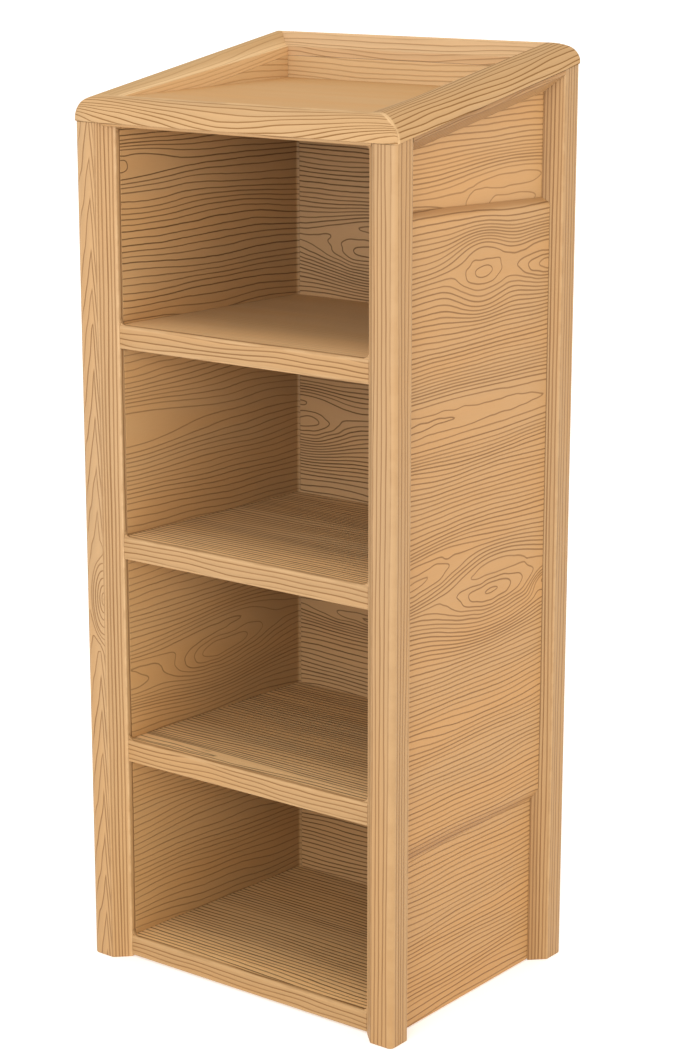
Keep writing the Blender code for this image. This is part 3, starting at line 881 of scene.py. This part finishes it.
def field_group(name, spacing, lean, broad, fine, knots, arches=None):
    """Growth field: one step of its value is one grain line. Vector in: along, across, depth in mm."""
    tree = bpy.data.node_groups.new(name, "ShaderNodeTree")
    tree.interface.new_socket("P", in_out="INPUT", socket_type="NodeSocketVector")
    tree.interface.new_socket("F", in_out="OUTPUT", socket_type="NodeSocketFloat")
    n = Nodes(tree)
    point = n.new("NodeGroupInput").outputs[0]
    total = n.vec("DOT_PRODUCT", point, (lean[2] / spacing if len(lean) > 2 else 0.0, lean[0] / spacing, lean[1] / spacing))
    for lines, along, across, seed, detail in (broad, fine):
        where = n.vec("MULTIPLY_ADD", point, (1 / along, 1 / across, 1 / across), seed)
        bump = n.num("SUBTRACT", n.noise(where, detail), 0.5)
        total = n.num("MULTIPLY_ADD", bump, lines * 2, total)

    if arches:
        # nested arches that climb one face of a post
        ridge, pitch, outer, inner, edge, limit, face, whorl = arches
        along, across, deep = n.split(point)[:3]
        off = n.num("SUBTRACT", across, ridge)
        legs = n.num("ADD", n.num("DIVIDE", n.num("MAXIMUM", off, 0.0), outer), n.num("DIVIDE", n.num("MINIMUM", off, 0.0), -inner))
        sway = n.num("MULTIPLY", n.num("SUBTRACT", n.noise(n.vec("MULTIPLY", point, (1 / 90.0, 1 / 12.0, 0.0)), 1.0), 0.5), 0.9)
        climb = n.num("ADD", n.num("ADD", n.num("DIVIDE", along, pitch), legs), sway)
        # half a knot against the inner edge of that face
        off = n.join(n.num("DIVIDE", n.num("SUBTRACT", along, whorl), 9.1), n.num("DIVIDE", n.num("SUBTRACT", across, edge), 3.5), 0.0)
        far = n.num("POWER", n.vec("DOT_PRODUCT", off, off), 0.5)
        rings = n.num("SUBTRACT", whorl / pitch + 8.0, far)
        near = n.remap(far, 5.0, 8.0, 1.0, 0.0)
        climb = n.num("MULTIPLY_ADD", near, n.num("SUBTRACT", rings, climb), climb)
        chosen = n.num("MULTIPLY", n.num("GREATER_THAN", across, edge), n.num("LESS_THAN", along, limit))
        chosen = n.num("MULTIPLY", chosen, n.num("GREATER_THAN", deep, face))
        total = n.num("MULTIPLY_ADD", chosen, n.num("SUBTRACT", climb, total), total)
    bent = point
    if knots:
        # rings are never quite round
        jag = n.new("ShaderNodeTexNoise", noise_dimensions="3D")
        n.put(n.vec("MULTIPLY", point, (1 / 44.0, 1 / 20.0, 1 / 20.0)), jag.inputs["Vector"])
        jag.inputs["Scale"].default_value = 1.0
        jag.inputs["Detail"].default_value = 1.0
        bent = n.vec("ADD", point, n.vec("MULTIPLY", n.vec("SUBTRACT", jag.outputs["Color"], (0.5, 0.5, 0.5)), (20.0, 9.0, 0.0)))

    def fall(u, v, su, sv, turn, flat=False):
        at = point if flat else bent
        a = n.num("ADD", n.vec("DOT_PRODUCT", at, (1 / su, 0.0, 0.0)), -u / su)
        b = n.num("ADD", n.vec("DOT_PRODUCT", at, (-turn / sv, 1 / sv, 0.0)), (turn * u - v) / sv)
        off = n.join(a, b, 0.0)
        far = n.vec("DOT_PRODUCT", off, off)
        if flat:
            far = n.num("POWER", far, 1.5)
        return n.num("EXPONENT", n.num("MULTIPLY", far, -1.0))

    for u, v, su, sv, ground, rise, turn, wide in knots:
        # the lines part round the knot, and then close into rings over it
        if wide:
            calm = fall(u, v, su * wide[0], sv * wide[1], turn, True)
            total = n.num("MULTIPLY_ADD", calm, n.num("SUBTRACT", ground, total), total)
        if rise:
            total = n.num("MULTIPLY_ADD", fall(u, v, su, sv, turn), rise, total)
    n.put(total, n.new("NodeGroupOutput").inputs[0])
    return tree


def knot(u, v, su, sv, ground, rise, turn=0.0, wide=(1.35, 2.2)):
    """Knot or long loop at (u, v): reach along and across, field value around it, number of rings, lean."""
    return (u, v, su, sv, ground, rise, turn, wide)


def wood(
    name,
    axes,
    base,
    line,
    spacing=6.0,
    lean=(1.0, 0.0),
    broad=(1.5, 260.0, 60.0, (0, 0, 0), 1.0),
    fine=(0.16, 40.0, 16.0, (7, 3, 1), 2.0),
    knots=(),
    half=0.62,
    strength=0.85,
    tone=0.10,
    rough=0.5,
    gloss=0.32,
    lighter=None,
    fold=False,
    upper=None,
    painted_light_ramp=None,
    dim=None,
    band_and_painted_highlight=-0.35,
    arches=None,
    wear_and_highlight_tint=(1.18, 1.25, 1.34),
    warm=False,
):
    """Wood with drawn growth lines. axes gives which of X, Y, Z run along, across and into the board;
    None takes the board's own coordinates from its mesh."""
    made = bpy.data.materials.new(name)
    made.use_nodes = True
    tree = made.node_tree
    shader = tree.nodes["Principled BSDF"]
    n = Nodes(tree)
    normal = n.new("ShaderNodeNewGeometry").outputs["Normal"]
    place = n.vec("SCALE", n.new("ShaderNodeTexCoord").outputs["Object"], scale=1000.0)
    if axes is None:
        point = n.new("ShaderNodeAttribute", attribute_name="grain").outputs["Vector"]
        tilt = None
    else:
        parts = n.split(place)
        facing = n.split(normal)
        point = n.join(*(parts[i] for i in axes))
        tilt = n.join(*(facing[i] for i in axes))
        if fold:
            # the four posts share one pattern turned to face outward at each corner
            along, a, b = n.split(point)[0], n.split(point)[1], n.split(point)[2]
            shift = n.num("ADD", n.num("MULTIPLY", n.num("SIGN", a), 640.0), n.num("MULTIPLY", n.num("SIGN", b), 1700.0))
            flat_a, flat_b = n.num("ABSOLUTE", a), n.num("ABSOLUTE", b)
            point = n.join(n.num("ADD", along, shift), flat_a, flat_b)
            ta, tb = n.split(tilt)[1], n.split(tilt)[2]
            tilt = n.join(
                n.split(tilt)[0], n.num("MULTIPLY", ta, n.num("SIGN", a)), n.num("MULTIPLY", tb, n.num("SIGN", b))
            )
    group = field_group(name + "_field", spacing, lean, broad, fine, knots, arches)

    def field(at):
        node = n.new("ShaderNodeGroup", node_tree=group)
        n.put(at, node.inputs[0])
        return node.outputs[0]

    step = 0.5
    here = field(point)
    slope = [
        n.num("SUBTRACT", field(n.vec("ADD", point, tuple(step if i == k else 0.0 for i in range(3)))), here)
        for k in range(2 if axes is None else 3)
    ]
    slope = n.join(*slope, *([0.0] * (3 - len(slope))))
    if tilt is not None:
        slope = n.vec("SUBTRACT", slope, n.vec("SCALE", tilt, scale=n.vec("DOT_PRODUCT", slope, tilt)))
    steep = n.num("MAXIMUM", n.num("MULTIPLY", n.vec("LENGTH", slope), 1 / step), 0.012)
    index = n.num("ROUND", here)
    gap = n.num("DIVIDE", n.num("ABSOLUTE", n.num("SUBTRACT", here, index)), steep)

    split = n.split(point)
    # thickness and depth of each line, drifting along its length
    mark = n.new("ShaderNodeTexWhiteNoise", noise_dimensions="1D")
    n.put(index, mark.inputs["W"])
    drift = n.noise(n.join(n.num("DIVIDE", split[0], 70.0), n.num("MULTIPLY", index, 3.7), 0.0), 1.0)
    wide = n.num("MULTIPLY", n.num("ADD", 0.62, n.num("MULTIPLY", drift, 0.75)), half)
    cut = n.remap(gap, n.num("MULTIPLY", wide, 0.45), n.num("MULTIPLY", wide, 1.45), 1.0, 0.0, True)
    depth = n.num("MULTIPLY", n.remap(mark.outputs["Value"], 0.0, 1.0, 0.72, 1.0), strength)
    mask = n.num("MULTIPLY", cut, depth)
    edge_wear_and_highlight = n.new("ShaderNodeAttribute", attribute_name="wear_and_highlight").outputs["Fac"]
    bare = n.num("SUBTRACT", 1.0, n.num("MULTIPLY", edge_wear_and_highlight, 0.9))
    mask = n.num("MULTIPLY", mask, bare)
    if dim:
        # lines fainter toward one end
        mask = n.num("MULTIPLY", mask, n.remap(n.split(place)[2], *dim))

    # body colour: slow drift, bands between lines, fibres
    cloud = n.noise(n.vec("MULTIPLY", point, (1 / 330.0, 1 / 55.0, 1 / 55.0)), 2.0)
    fibre = n.noise(n.vec("MULTIPLY", point, (1 / 28.0, 1 / 0.9, 1 / 0.9)), 3.0, 0.6)
    band = n.num("FRACT", here)
    level = n.num("ADD", n.num("MULTIPLY", n.num("SUBTRACT", cloud, 0.5), tone * 2.2), 1.0)
    level = n.num("MULTIPLY_ADD", n.num("SUBTRACT", fibre, 0.5), tone * 0.9, level)
    # bands between lines: the grain's own tone, and where the setting is above zero also a painted highlight beside
    # each line, as of a carved line catching the light
    level = n.num("MULTIPLY_ADD", n.num("SUBTRACT", band, 0.5), tone * band_and_painted_highlight, level)
    warm = n.blend(n.remap(cloud, 0.35, 0.65, 0.0, 1.0, True), base, tuple(c * k for c, k in zip(base, (0.97, 0.93, 0.87, 1))))
    body = n.vec("SCALE", warm, scale=level)
    dark = line
    if painted_light_ramp:
        # painted light and shade: brighter or darker toward one side of the board, as the light falls off into the
        # compartments and recesses
        body = n.vec("SCALE", body, scale=n.remap(split[painted_light_ramp[0]], *painted_light_ramp[1:], True))
    if upper:
        # boards that rise into the tray are pale again above its floor: partly the tray's own tone, partly painted
        # light against the shade inside the tray
        level_z, pale_line, pale_base = upper
        high = n.remap(n.split(place)[2], level_z - 1.0, level_z + 1.0, 0.0, 1.0)
        high = n.num("MULTIPLY", high, n.num("LESS_THAN", n.split(normal)[1], 0.5))
        dark = n.blend(high, line, pale_line)
        body = n.blend(high, body, n.vec("SCALE", pale_base[:3], scale=level))
    color = n.blend(mask, body, dark)
    # pale along rounded edges and seams: partly abrasion, partly painted highlight where the edges would catch the
    # light
    pale = lighter or tuple(min(1.0, c * k) for c, k in zip(base, wear_and_highlight_tint + (1.0,)))
    patchy_wear_and_highlight = n.remap(n.noise(n.vec("MULTIPLY", place, (0.025, 0.06, 0.06)), 3.0), 0.38, 0.6, 0.2, 0.9)
    color = n.blend(n.num("MULTIPLY", edge_wear_and_highlight, patchy_wear_and_highlight), color, pale)
    # painted shade in creases, bevels and under the rim, where the shade attribute is above zero
    painted_light_and_shade = n.new("ShaderNodeAttribute", attribute_name="shade").outputs["Fac"]
    color = n.blend(painted_light_and_shade, color, n.vec("MULTIPLY", color, (0.76, 0.71, 0.65)))
    # and painted light where the shade attribute is below zero
    color = n.blend(n.num("MULTIPLY", painted_light_and_shade, -1.0), color, n.vec("MULTIPLY", color, (1.42, 1.50, 1.62)))
    if warm:
        # a little warmer toward the feet
        foot = n.remap(n.split(place)[2], 60.0, 640.0, 1.0, 0.0)
        color = n.blend(foot, color, n.vec("MULTIPLY", color, (1.0, 0.972, 0.885)))
    n.put(color, shader.inputs["Base Color"])

    polish = n.num("MULTIPLY_ADD", n.num("SUBTRACT", cloud, 0.5), 0.16, rough)
    polish = n.num("MULTIPLY_ADD", mask, 0.12, polish)
    n.put(n.num("MULTIPLY_ADD", edge_wear_and_highlight, -0.08, polish), shader.inputs["Roughness"])
    shader.inputs["Specular IOR Level"].default_value = gloss

    relief = n.num("MULTIPLY_ADD", fibre, 0.16, n.num("SUBTRACT", 1.0, mask))
    bump = n.new("ShaderNodeBump")
    bump.inputs["Strength"].default_value = 0.5
    bump.inputs["Distance"].default_value = 0.0006
    n.put(relief, bump.inputs["Height"])
    n.put(bump.outputs["Normal"], shader.inputs["Normal"])
    return made


def steel(name):
    made = bpy.data.materials.new(name)
    made.use_nodes = True
    tree = made.node_tree
    shader = tree.nodes["Principled BSDF"]
    n = Nodes(tree)
    place = n.vec("SCALE", n.new("ShaderNodeTexCoord").outputs["Object"], scale=1000.0)
    spots = n.noise(n.vec("MULTIPLY", place, (0.9, 0.9, 0.9)), 3.0)
    n.put(n.blend(spots, (0.50, 0.50, 0.48, 1), (0.72, 0.72, 0.69, 1)), shader.inputs["Base Color"])
    shader.inputs["Metallic"].default_value = 1.0
    n.put(n.remap(spots, 0.3, 0.7, 0.28, 0.46), shader.inputs["Roughness"])
    bump = n.new("ShaderNodeBump")
    bump.inputs["Strength"].default_value = 0.2
    bump.inputs["Distance"].default_value = 0.0001
    n.put(n.noise(n.vec("MULTIPLY", place, (6.0, 0.8, 6.0)), 2.0), bump.inputs["Height"])
    n.put(bump.outputs["Normal"], shader.inputs["Normal"])
    return made


X, Y, Z = 0, 1, 2
TAN = (0.456, 0.279, 0.134, 1.0)
RIM_TAN = (0.515, 0.336, 0.180, 1.0)
HONEY = (0.505, 0.290, 0.124, 1.0)
WALL_TAN = (0.515, 0.315, 0.146, 1.0)
BACK_TAN = (0.475, 0.300, 0.152, 1.0)
SHELF_TAN = (0.610, 0.412, 0.216, 1.0)
FLOOR_TAN = (0.577, 0.345, 0.153, 1.0)
TRAY_TAN = (0.700, 0.475, 0.248, 1.0)
TRAY_PALE = (0.660, 0.440, 0.225, 1.0)
PALE_LINE = (0.430, 0.245, 0.105, 1.0)
SOFT_LINE = (0.235, 0.118, 0.041, 1.0)
DEEP_LINE = (0.060, 0.028, 0.008, 1.0)

post_wood = wood(
    "post_wood", (Z, X, Y), TAN, SOFT_LINE, spacing=5.8, lean=(1.0, 1.0), fold=True, strength=1.0,
    broad=(0.8, 420.0, 17.0, (3, 1, 8), 1.0), fine=(0.10, 50.0, 9.0, (7, 3, 1), 1.0), half=0.78,
    arches=(208.0, 52.0, 9.6, 4.4, 200.6, -1100.0, 174.5, -1880.0), band_and_painted_highlight=-1.0, warm=True,
)
rim_wood = wood(
    "rim_wood", None, RIM_TAN, SOFT_LINE, spacing=6.2, strength=1.0,
    broad=(1.2, 170.0, 30.0, (5, 2, 4), 1.0), fine=(0.10, 40.0, 12.0, (1, 6, 2), 1.0), half=0.75,
    band_and_painted_highlight=1.4, gloss=0.0, rough=0.8, wear_and_highlight_tint=(1.38, 1.44, 1.46),
)
pale_rim_wood = wood(
    "pale_rim_wood", None, (0.620, 0.418, 0.236, 1.0), SOFT_LINE, spacing=6.2, strength=0.6,
    broad=(1.2, 170.0, 30.0, (5, 9, 1), 1.0), fine=(0.10, 40.0, 12.0, (1, 6, 2), 1.0), half=0.7,
    band_and_painted_highlight=1.4, gloss=0.0, rough=0.8, wear_and_highlight_tint=(1.16, 1.20, 1.24),
)
soft_rim_wood = wood(
    "soft_rim_wood", None, (0.548, 0.364, 0.190, 1.0), SOFT_LINE, spacing=6.4, strength=0.35,
    broad=(1.2, 170.0, 30.0, (2, 8, 4), 1.0), fine=(0.10, 40.0, 12.0, (1, 6, 2), 1.0), half=0.75,
    gloss=0.0, rough=0.8,
)
edge_wood = wood(
    "edge_wood", (X, Z, Y), TAN, SOFT_LINE, spacing=6.0, lean=(1.0, 0.8), strength=1.0,
    broad=(1.2, 130.0, 30.0, (2, 7, 5), 1.0), fine=(0.10, 40.0, 12.0, (4, 4, 9), 1.0), half=0.75,
    band_and_painted_highlight=1.4, gloss=0.2,
)
# darker base: painted shade on the rail under the rim
rail_wood = wood(
    "rail_wood", (Y, Z, X), (0.440, 0.250, 0.106, 1.0), SOFT_LINE, spacing=5.6, lean=(1.0, 0.9, -RIM_SLOPE),
    broad=(1.0, 200.0, 26.0, (8, 2, 5), 1.0), half=0.6,
)
panel_wood = wood(
    "panel_wood", (Y, Z, X), HONEY, SOFT_LINE, spacing=6.2, strength=1.0,
    broad=(2.2, 260.0, 62.0, (1, 5, 3), 1.0), fine=(0.14, 34.0, 14.0, (9, 2, 6), 2.0), half=0.85,
    knots=(
        knot(2.0, 870.0, 44.0, 16.0, 139.6, 2.9, wide=(1.35, 2.6)),
        knot(135.0, 866.0, 64.0, 16.0, 139.1, 4.4),
        knot(-131.0, 712.0, 280.0, 13.0, 113.95, 2.2, wide=(1.8, 2.8)),
        knot(26.0, 497.0, 90.0, 21.0, 80.9, 5.2, wide=(1.3, 2.4)),
        knot(-129.0, 534.0, 95.0, 16.0, 86.4, 2.8, 0.14, wide=(1.3, 1.8)),
        knot(142.0, 480.0, 22.0, 8.0, 77.1, 1.4),
    ),
    painted_light_ramp=(1, 890.0, 980.0, 1.0, 1.06), dim=(925.0, 965.0, 1.0, 0.82),
)
field_wood = wood(
    "field_wood", (Y, Z, X), HONEY, SOFT_LINE, spacing=6.2, strength=1.0,
    broad=(2.2, 260.0, 62.0, (1, 5, 3), 1.0), fine=(0.14, 34.0, 14.0, (9, 2, 6), 2.0), half=0.85,
    knots=(knot(70.0, 943.0, 130.0, 22.0, 152.3, 3.1, wide=(1.1, 2.2)),),
    painted_light_ramp=(1, 890.0, 980.0, 1.0, 1.06), dim=(925.0, 965.0, 1.0, 0.82),
)
wall_wood = wood(
    "wall_wood", (Y, Z, X), WALL_TAN, DEEP_LINE, spacing=7.6,
    broad=(2.4, 240.0, 70.0, (4, 9, 2), 1.0), fine=(0.15, 34.0, 14.0, (2, 8, 6), 2.0), half=0.76,
    knots=(
        knot(-154.0, 973.0, 18.0, 9.0, 127.5, 0.8, wide=(6.0, 2.3)),
        knot(-150.0, 664.0, 150.0, 34.0, 87.5, 0.0, wide=(1.0, 1.0)),
        knot(12.0, 365.0, 85.0, 20.0, 48.25, 4.7, 0.11, wide=(1.35, 2.3)),
        knot(-165.0, 355.0, 72.0, 15.3, 47.35, 1.1, -0.12, wide=(1.0, 1.6)),
    ),
    upper=(1050.0, PALE_LINE, TRAY_PALE), painted_light_ramp=(0, -150.0, 140.0, 1.11, 0.75), dim=(750.0, 850.0, 0.62, 1.0),
)
back_wood = wood(
    "back_wood", (X, Z, Y), BACK_TAN, DEEP_LINE, spacing=6.2,
    broad=(2.0, 200.0, 60.0, (6, 3, 7), 1.0), fine=(0.15, 34.0, 14.0, (5, 1, 2), 2.0), half=0.84,
    knots=(
        knot(-40.0, 853.0, 88.0, 22.0, 137.4, 5.3, wide=(1.1, 1.9)),
        knot(-151.0, 630.0, 60.0, 20.0, 102.0, 4.5, wide=(1.2, 1.9)),
        knot(-30.0, 386.0, 90.0, 8.0, 62.6, 2.6),
    ),
    upper=(1050.0, (0.430, 0.262, 0.120, 1.0), (0.640, 0.428, 0.221, 1.0)),
)
shelf_wood = wood(
    "shelf_wood", (X, Y, Z), SHELF_TAN, DEEP_LINE, spacing=7.2,
    broad=(1.6, 320.0, 60.0, (3, 3, 1), 1.0), fine=(0.12, 40.0, 14.0, (6, 1, 2), 2.0), half=1.25, strength=0.85,
    rough=0.65, gloss=0.2, painted_light_ramp=(1, -160.0, -50.0, 1.38, 0.96),
)
looped_wood = wood(
    "looped_wood", (X, Y, Z), SHELF_TAN, DEEP_LINE, spacing=7.2,
    broad=(1.6, 320.0, 60.0, (3, 3, 1), 1.0), fine=(0.12, 40.0, 14.0, (6, 1, 2), 2.0), half=1.25, strength=0.85,
    knots=(knot(-180.0, -143.0, 200.0, 8.0, -20.6, 2.2, wide=(1.2, 2.2)),), rough=0.65, gloss=0.2,
    painted_light_ramp=(1, -160.0, -50.0, 1.38, 0.96),
)
faint_wood = wood(
    "faint_wood", (X, Y, Z), SHELF_TAN, DEEP_LINE, spacing=7.2,
    broad=(1.6, 320.0, 60.0, (5, 3, 2), 1.0), fine=(0.12, 40.0, 14.0, (6, 1, 2), 2.0), half=1.2, strength=0.12,
    rough=0.65, gloss=0.2, painted_light_ramp=(1, -165.0, -40.0, 1.36, 0.86),
)
plain_wood = wood(
    "plain_wood", (X, Y, Z), FLOOR_TAN, (0.33, 0.18, 0.072, 1.0), spacing=7.0,
    broad=(2.0, 300.0, 50.0, (8, 3, 1), 1.0), half=0.8, strength=0.22, tone=0.07, rough=0.75, gloss=0.1,
)
joinery_wood = wood(
    "joinery_wood", (X, Y, Z), (0.36, 0.21, 0.095, 1.0), (0.22, 0.12, 0.05, 1.0), spacing=3.0, lean=(0.8, 0.6),
    broad=(0.8, 90.0, 16.0, (2, 2, 5), 1.0), half=0.4, rough=0.62,
)
screw_steel = steel("screw_steel")

# ---------------------------------------------------------------- build

pieces = {}


def show(obj, node, finish):
    """The rebuilt piece takes the place of its construction node."""
    obj.data.materials.clear()
    obj.data.materials.append(finish)
    for face in obj.data.polygons:
        face.use_smooth = True
    obj.data.set_sharp_from_angle(angle=math.radians(30))
    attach(obj, "root")
    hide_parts(node)
    pieces[node] = obj


shapes = {}
for side in ("left", "right"):
    shapes[f"post_front_{side}"] = front_post(side)
    shapes[f"post_rear_{side}"] = rear_post(side)
    shapes[f"case_side_{side}"] = case_side(side)
    shapes[f"side_rail_{side}"] = side_rail(side)
    shapes[f"side_panel_{side}"] = side_panel(side)
    shapes[f"raised_panel_{side}"] = raised_panel(side)
shapes["back_panel"] = back_panel()
for name, (low, top) in zip(("base", "lower", "middle", "upper"), shelf_levels()):
    shapes[f"{name}_nosing"] = nosing(f"{name.capitalize()}_nosing", low, top)
    shapes[f"{name}_shelf"] = shelf(f"{name.capitalize()}_shelf", top)
for name in ("front", "back", "left", "right"):
    shapes[f"rim_{name}"] = rim(name)
shapes["header_rail"] = header_rail()
shapes["tray_floor"] = tray_floor()
for side in ("left", "right"):
    cap = shapes[f"rim_{side}"]
    dowel_hole(side, 33.0, (shapes[f"post_front_{side}"], cap))
    dowel_hole(side, DEPTH - 30.0, (shapes[f"post_rear_{side}"], cap))
    for end in ("front", "back"):
        spline_slot(side, end, (shapes[f"rim_{end}"], cap))
    for k in range(4):
        screw_hole(side, 90.0 + k * 300.0, (shapes["back_panel"], shapes[f"case_side_{side}"]))

shelf_finish = {"upper_shelf": faint_wood, "lower_shelf": looped_wood}
for node, obj in shapes.items():
    if node.startswith("post"):
        show(obj, node, post_wood)
    elif node.startswith("rim"):
        show(obj, node, {"rim_left": soft_rim_wood, "rim_back": pale_rim_wood}.get(node, rim_wood))
    elif node.endswith("nosing"):
        show(obj, node, edge_wood)
        # the top of the nosing takes its shelf's wood, so the shelf's grain and its painted light toward the front
        # run over it
        obj.data.materials.append(shelf_finish.get(node.replace("nosing", "shelf"), shelf_wood))
        for face in obj.data.polygons:
            if face.normal.z > 0.9 and face.center.y > (POST_FRONT_SET + 4.4 - DEPTH / 2) * MM:
                face.material_index = 1
    elif node == "header_rail":
        show(obj, node, edge_wood)
    elif node.startswith("side_rail"):
        show(obj, node, rail_wood)
    elif node.startswith("side_panel"):
        show(obj, node, field_wood)
    elif node.startswith("case"):
        show(obj, node, wall_wood)
    elif node == "back_panel":
        show(obj, node, back_wood)
    elif node.endswith("shelf"):
        show(obj, node, shelf_finish.get(node, shelf_wood))
    elif node.startswith("tray"):
        show(obj, node, plain_wood)
    else:
        show(obj, node, panel_wood)

for node, obj in frame["nodes"].items():
    if node in shapes:
        continue
    obj.data.materials.clear()
    obj.data.materials.append(screw_steel if "screw" in node else joinery_wood)

# ---------------------------------------------------------------- stage, light, camera


def floor():
    bm = bmesh.new()
    bmesh.ops.create_grid(bm, x_segments=2, y_segments=2, size=60.0)
    mesh = bpy.data.meshes.new("Floor")
    bm.to_mesh(mesh)
    bm.free()
    obj = bpy.data.objects.new("Floor", mesh)
    obj.location = (0, 0, -0.0002)
    bpy.context.scene.collection.objects.link(obj)
    paper = bpy.data.materials.new("floor_paper")
    paper.use_nodes = True
    shader = paper.node_tree.nodes["Principled BSDF"]
    shader.inputs["Base Color"].default_value = (0.9, 0.9, 0.9, 1)
    shader.inputs["Roughness"].default_value = 0.9
    shader.inputs["Specular IOR Level"].default_value = 0.0
    shader.inputs["Emission Color"].default_value = (1, 1, 1, 1)
    shader.inputs["Emission Strength"].default_value = 0.4
    mesh.materials.append(paper)


def softbox(name, at, aim, size, power):
    lamp = bpy.data.lights.new(name, "AREA")
    lamp.shape = "RECTANGLE"
    lamp.size, lamp.size_y = size
    lamp.energy = power
    obj = bpy.data.objects.new(name, lamp)
    obj.location = at
    obj.rotation_euler = (Vector(aim) - Vector(at)).to_track_quat("-Z", "Y").to_euler()
    bpy.context.scene.collection.objects.link(obj)


floor()
softbox("Key", (1.3, -3.9, 1.95), (0, 0, 0.55), (1.8, 1.8), 65.0)

sky = bpy.data.worlds.new("Studio")
sky.use_nodes = True
sky_nodes = Nodes(sky.node_tree)
toward = sky_nodes.split(sky_nodes.new("ShaderNodeTexCoord").outputs["Generated"])[0]
glow = sky_nodes.blend(sky_nodes.remap(toward, -0.2, 0.9, 0.0, 1.0, True), (1, 1, 1, 1), (1.25, 1.12, 0.92, 1))
sky_nodes.put(glow, sky.node_tree.nodes["Background"].inputs["Color"])
sky.node_tree.nodes["Background"].inputs["Strength"].default_value = 0.98
bpy.context.scene.world = sky

lens = bpy.data.cameras.new("Camera")
lens.sensor_fit = "AUTO"
lens.sensor_width = 36.0
lens.lens = 18.0 * 2577.53 / 532.0
lens.clip_start, lens.clip_end = 0.05, 200.0
camera = bpy.data.objects.new("Camera", lens)
camera.location = (1.8343, -2.353, 1.2904)
camera.rotation_euler = (math.radians(90 - 14.146), 0.0, math.radians(37.6819))
bpy.context.scene.collection.objects.link(camera)
bpy.context.scene.camera = camera
bpy.context.scene.view_settings.view_transform = "Standard"
bpy.context.scene.view_settings.look = "None"
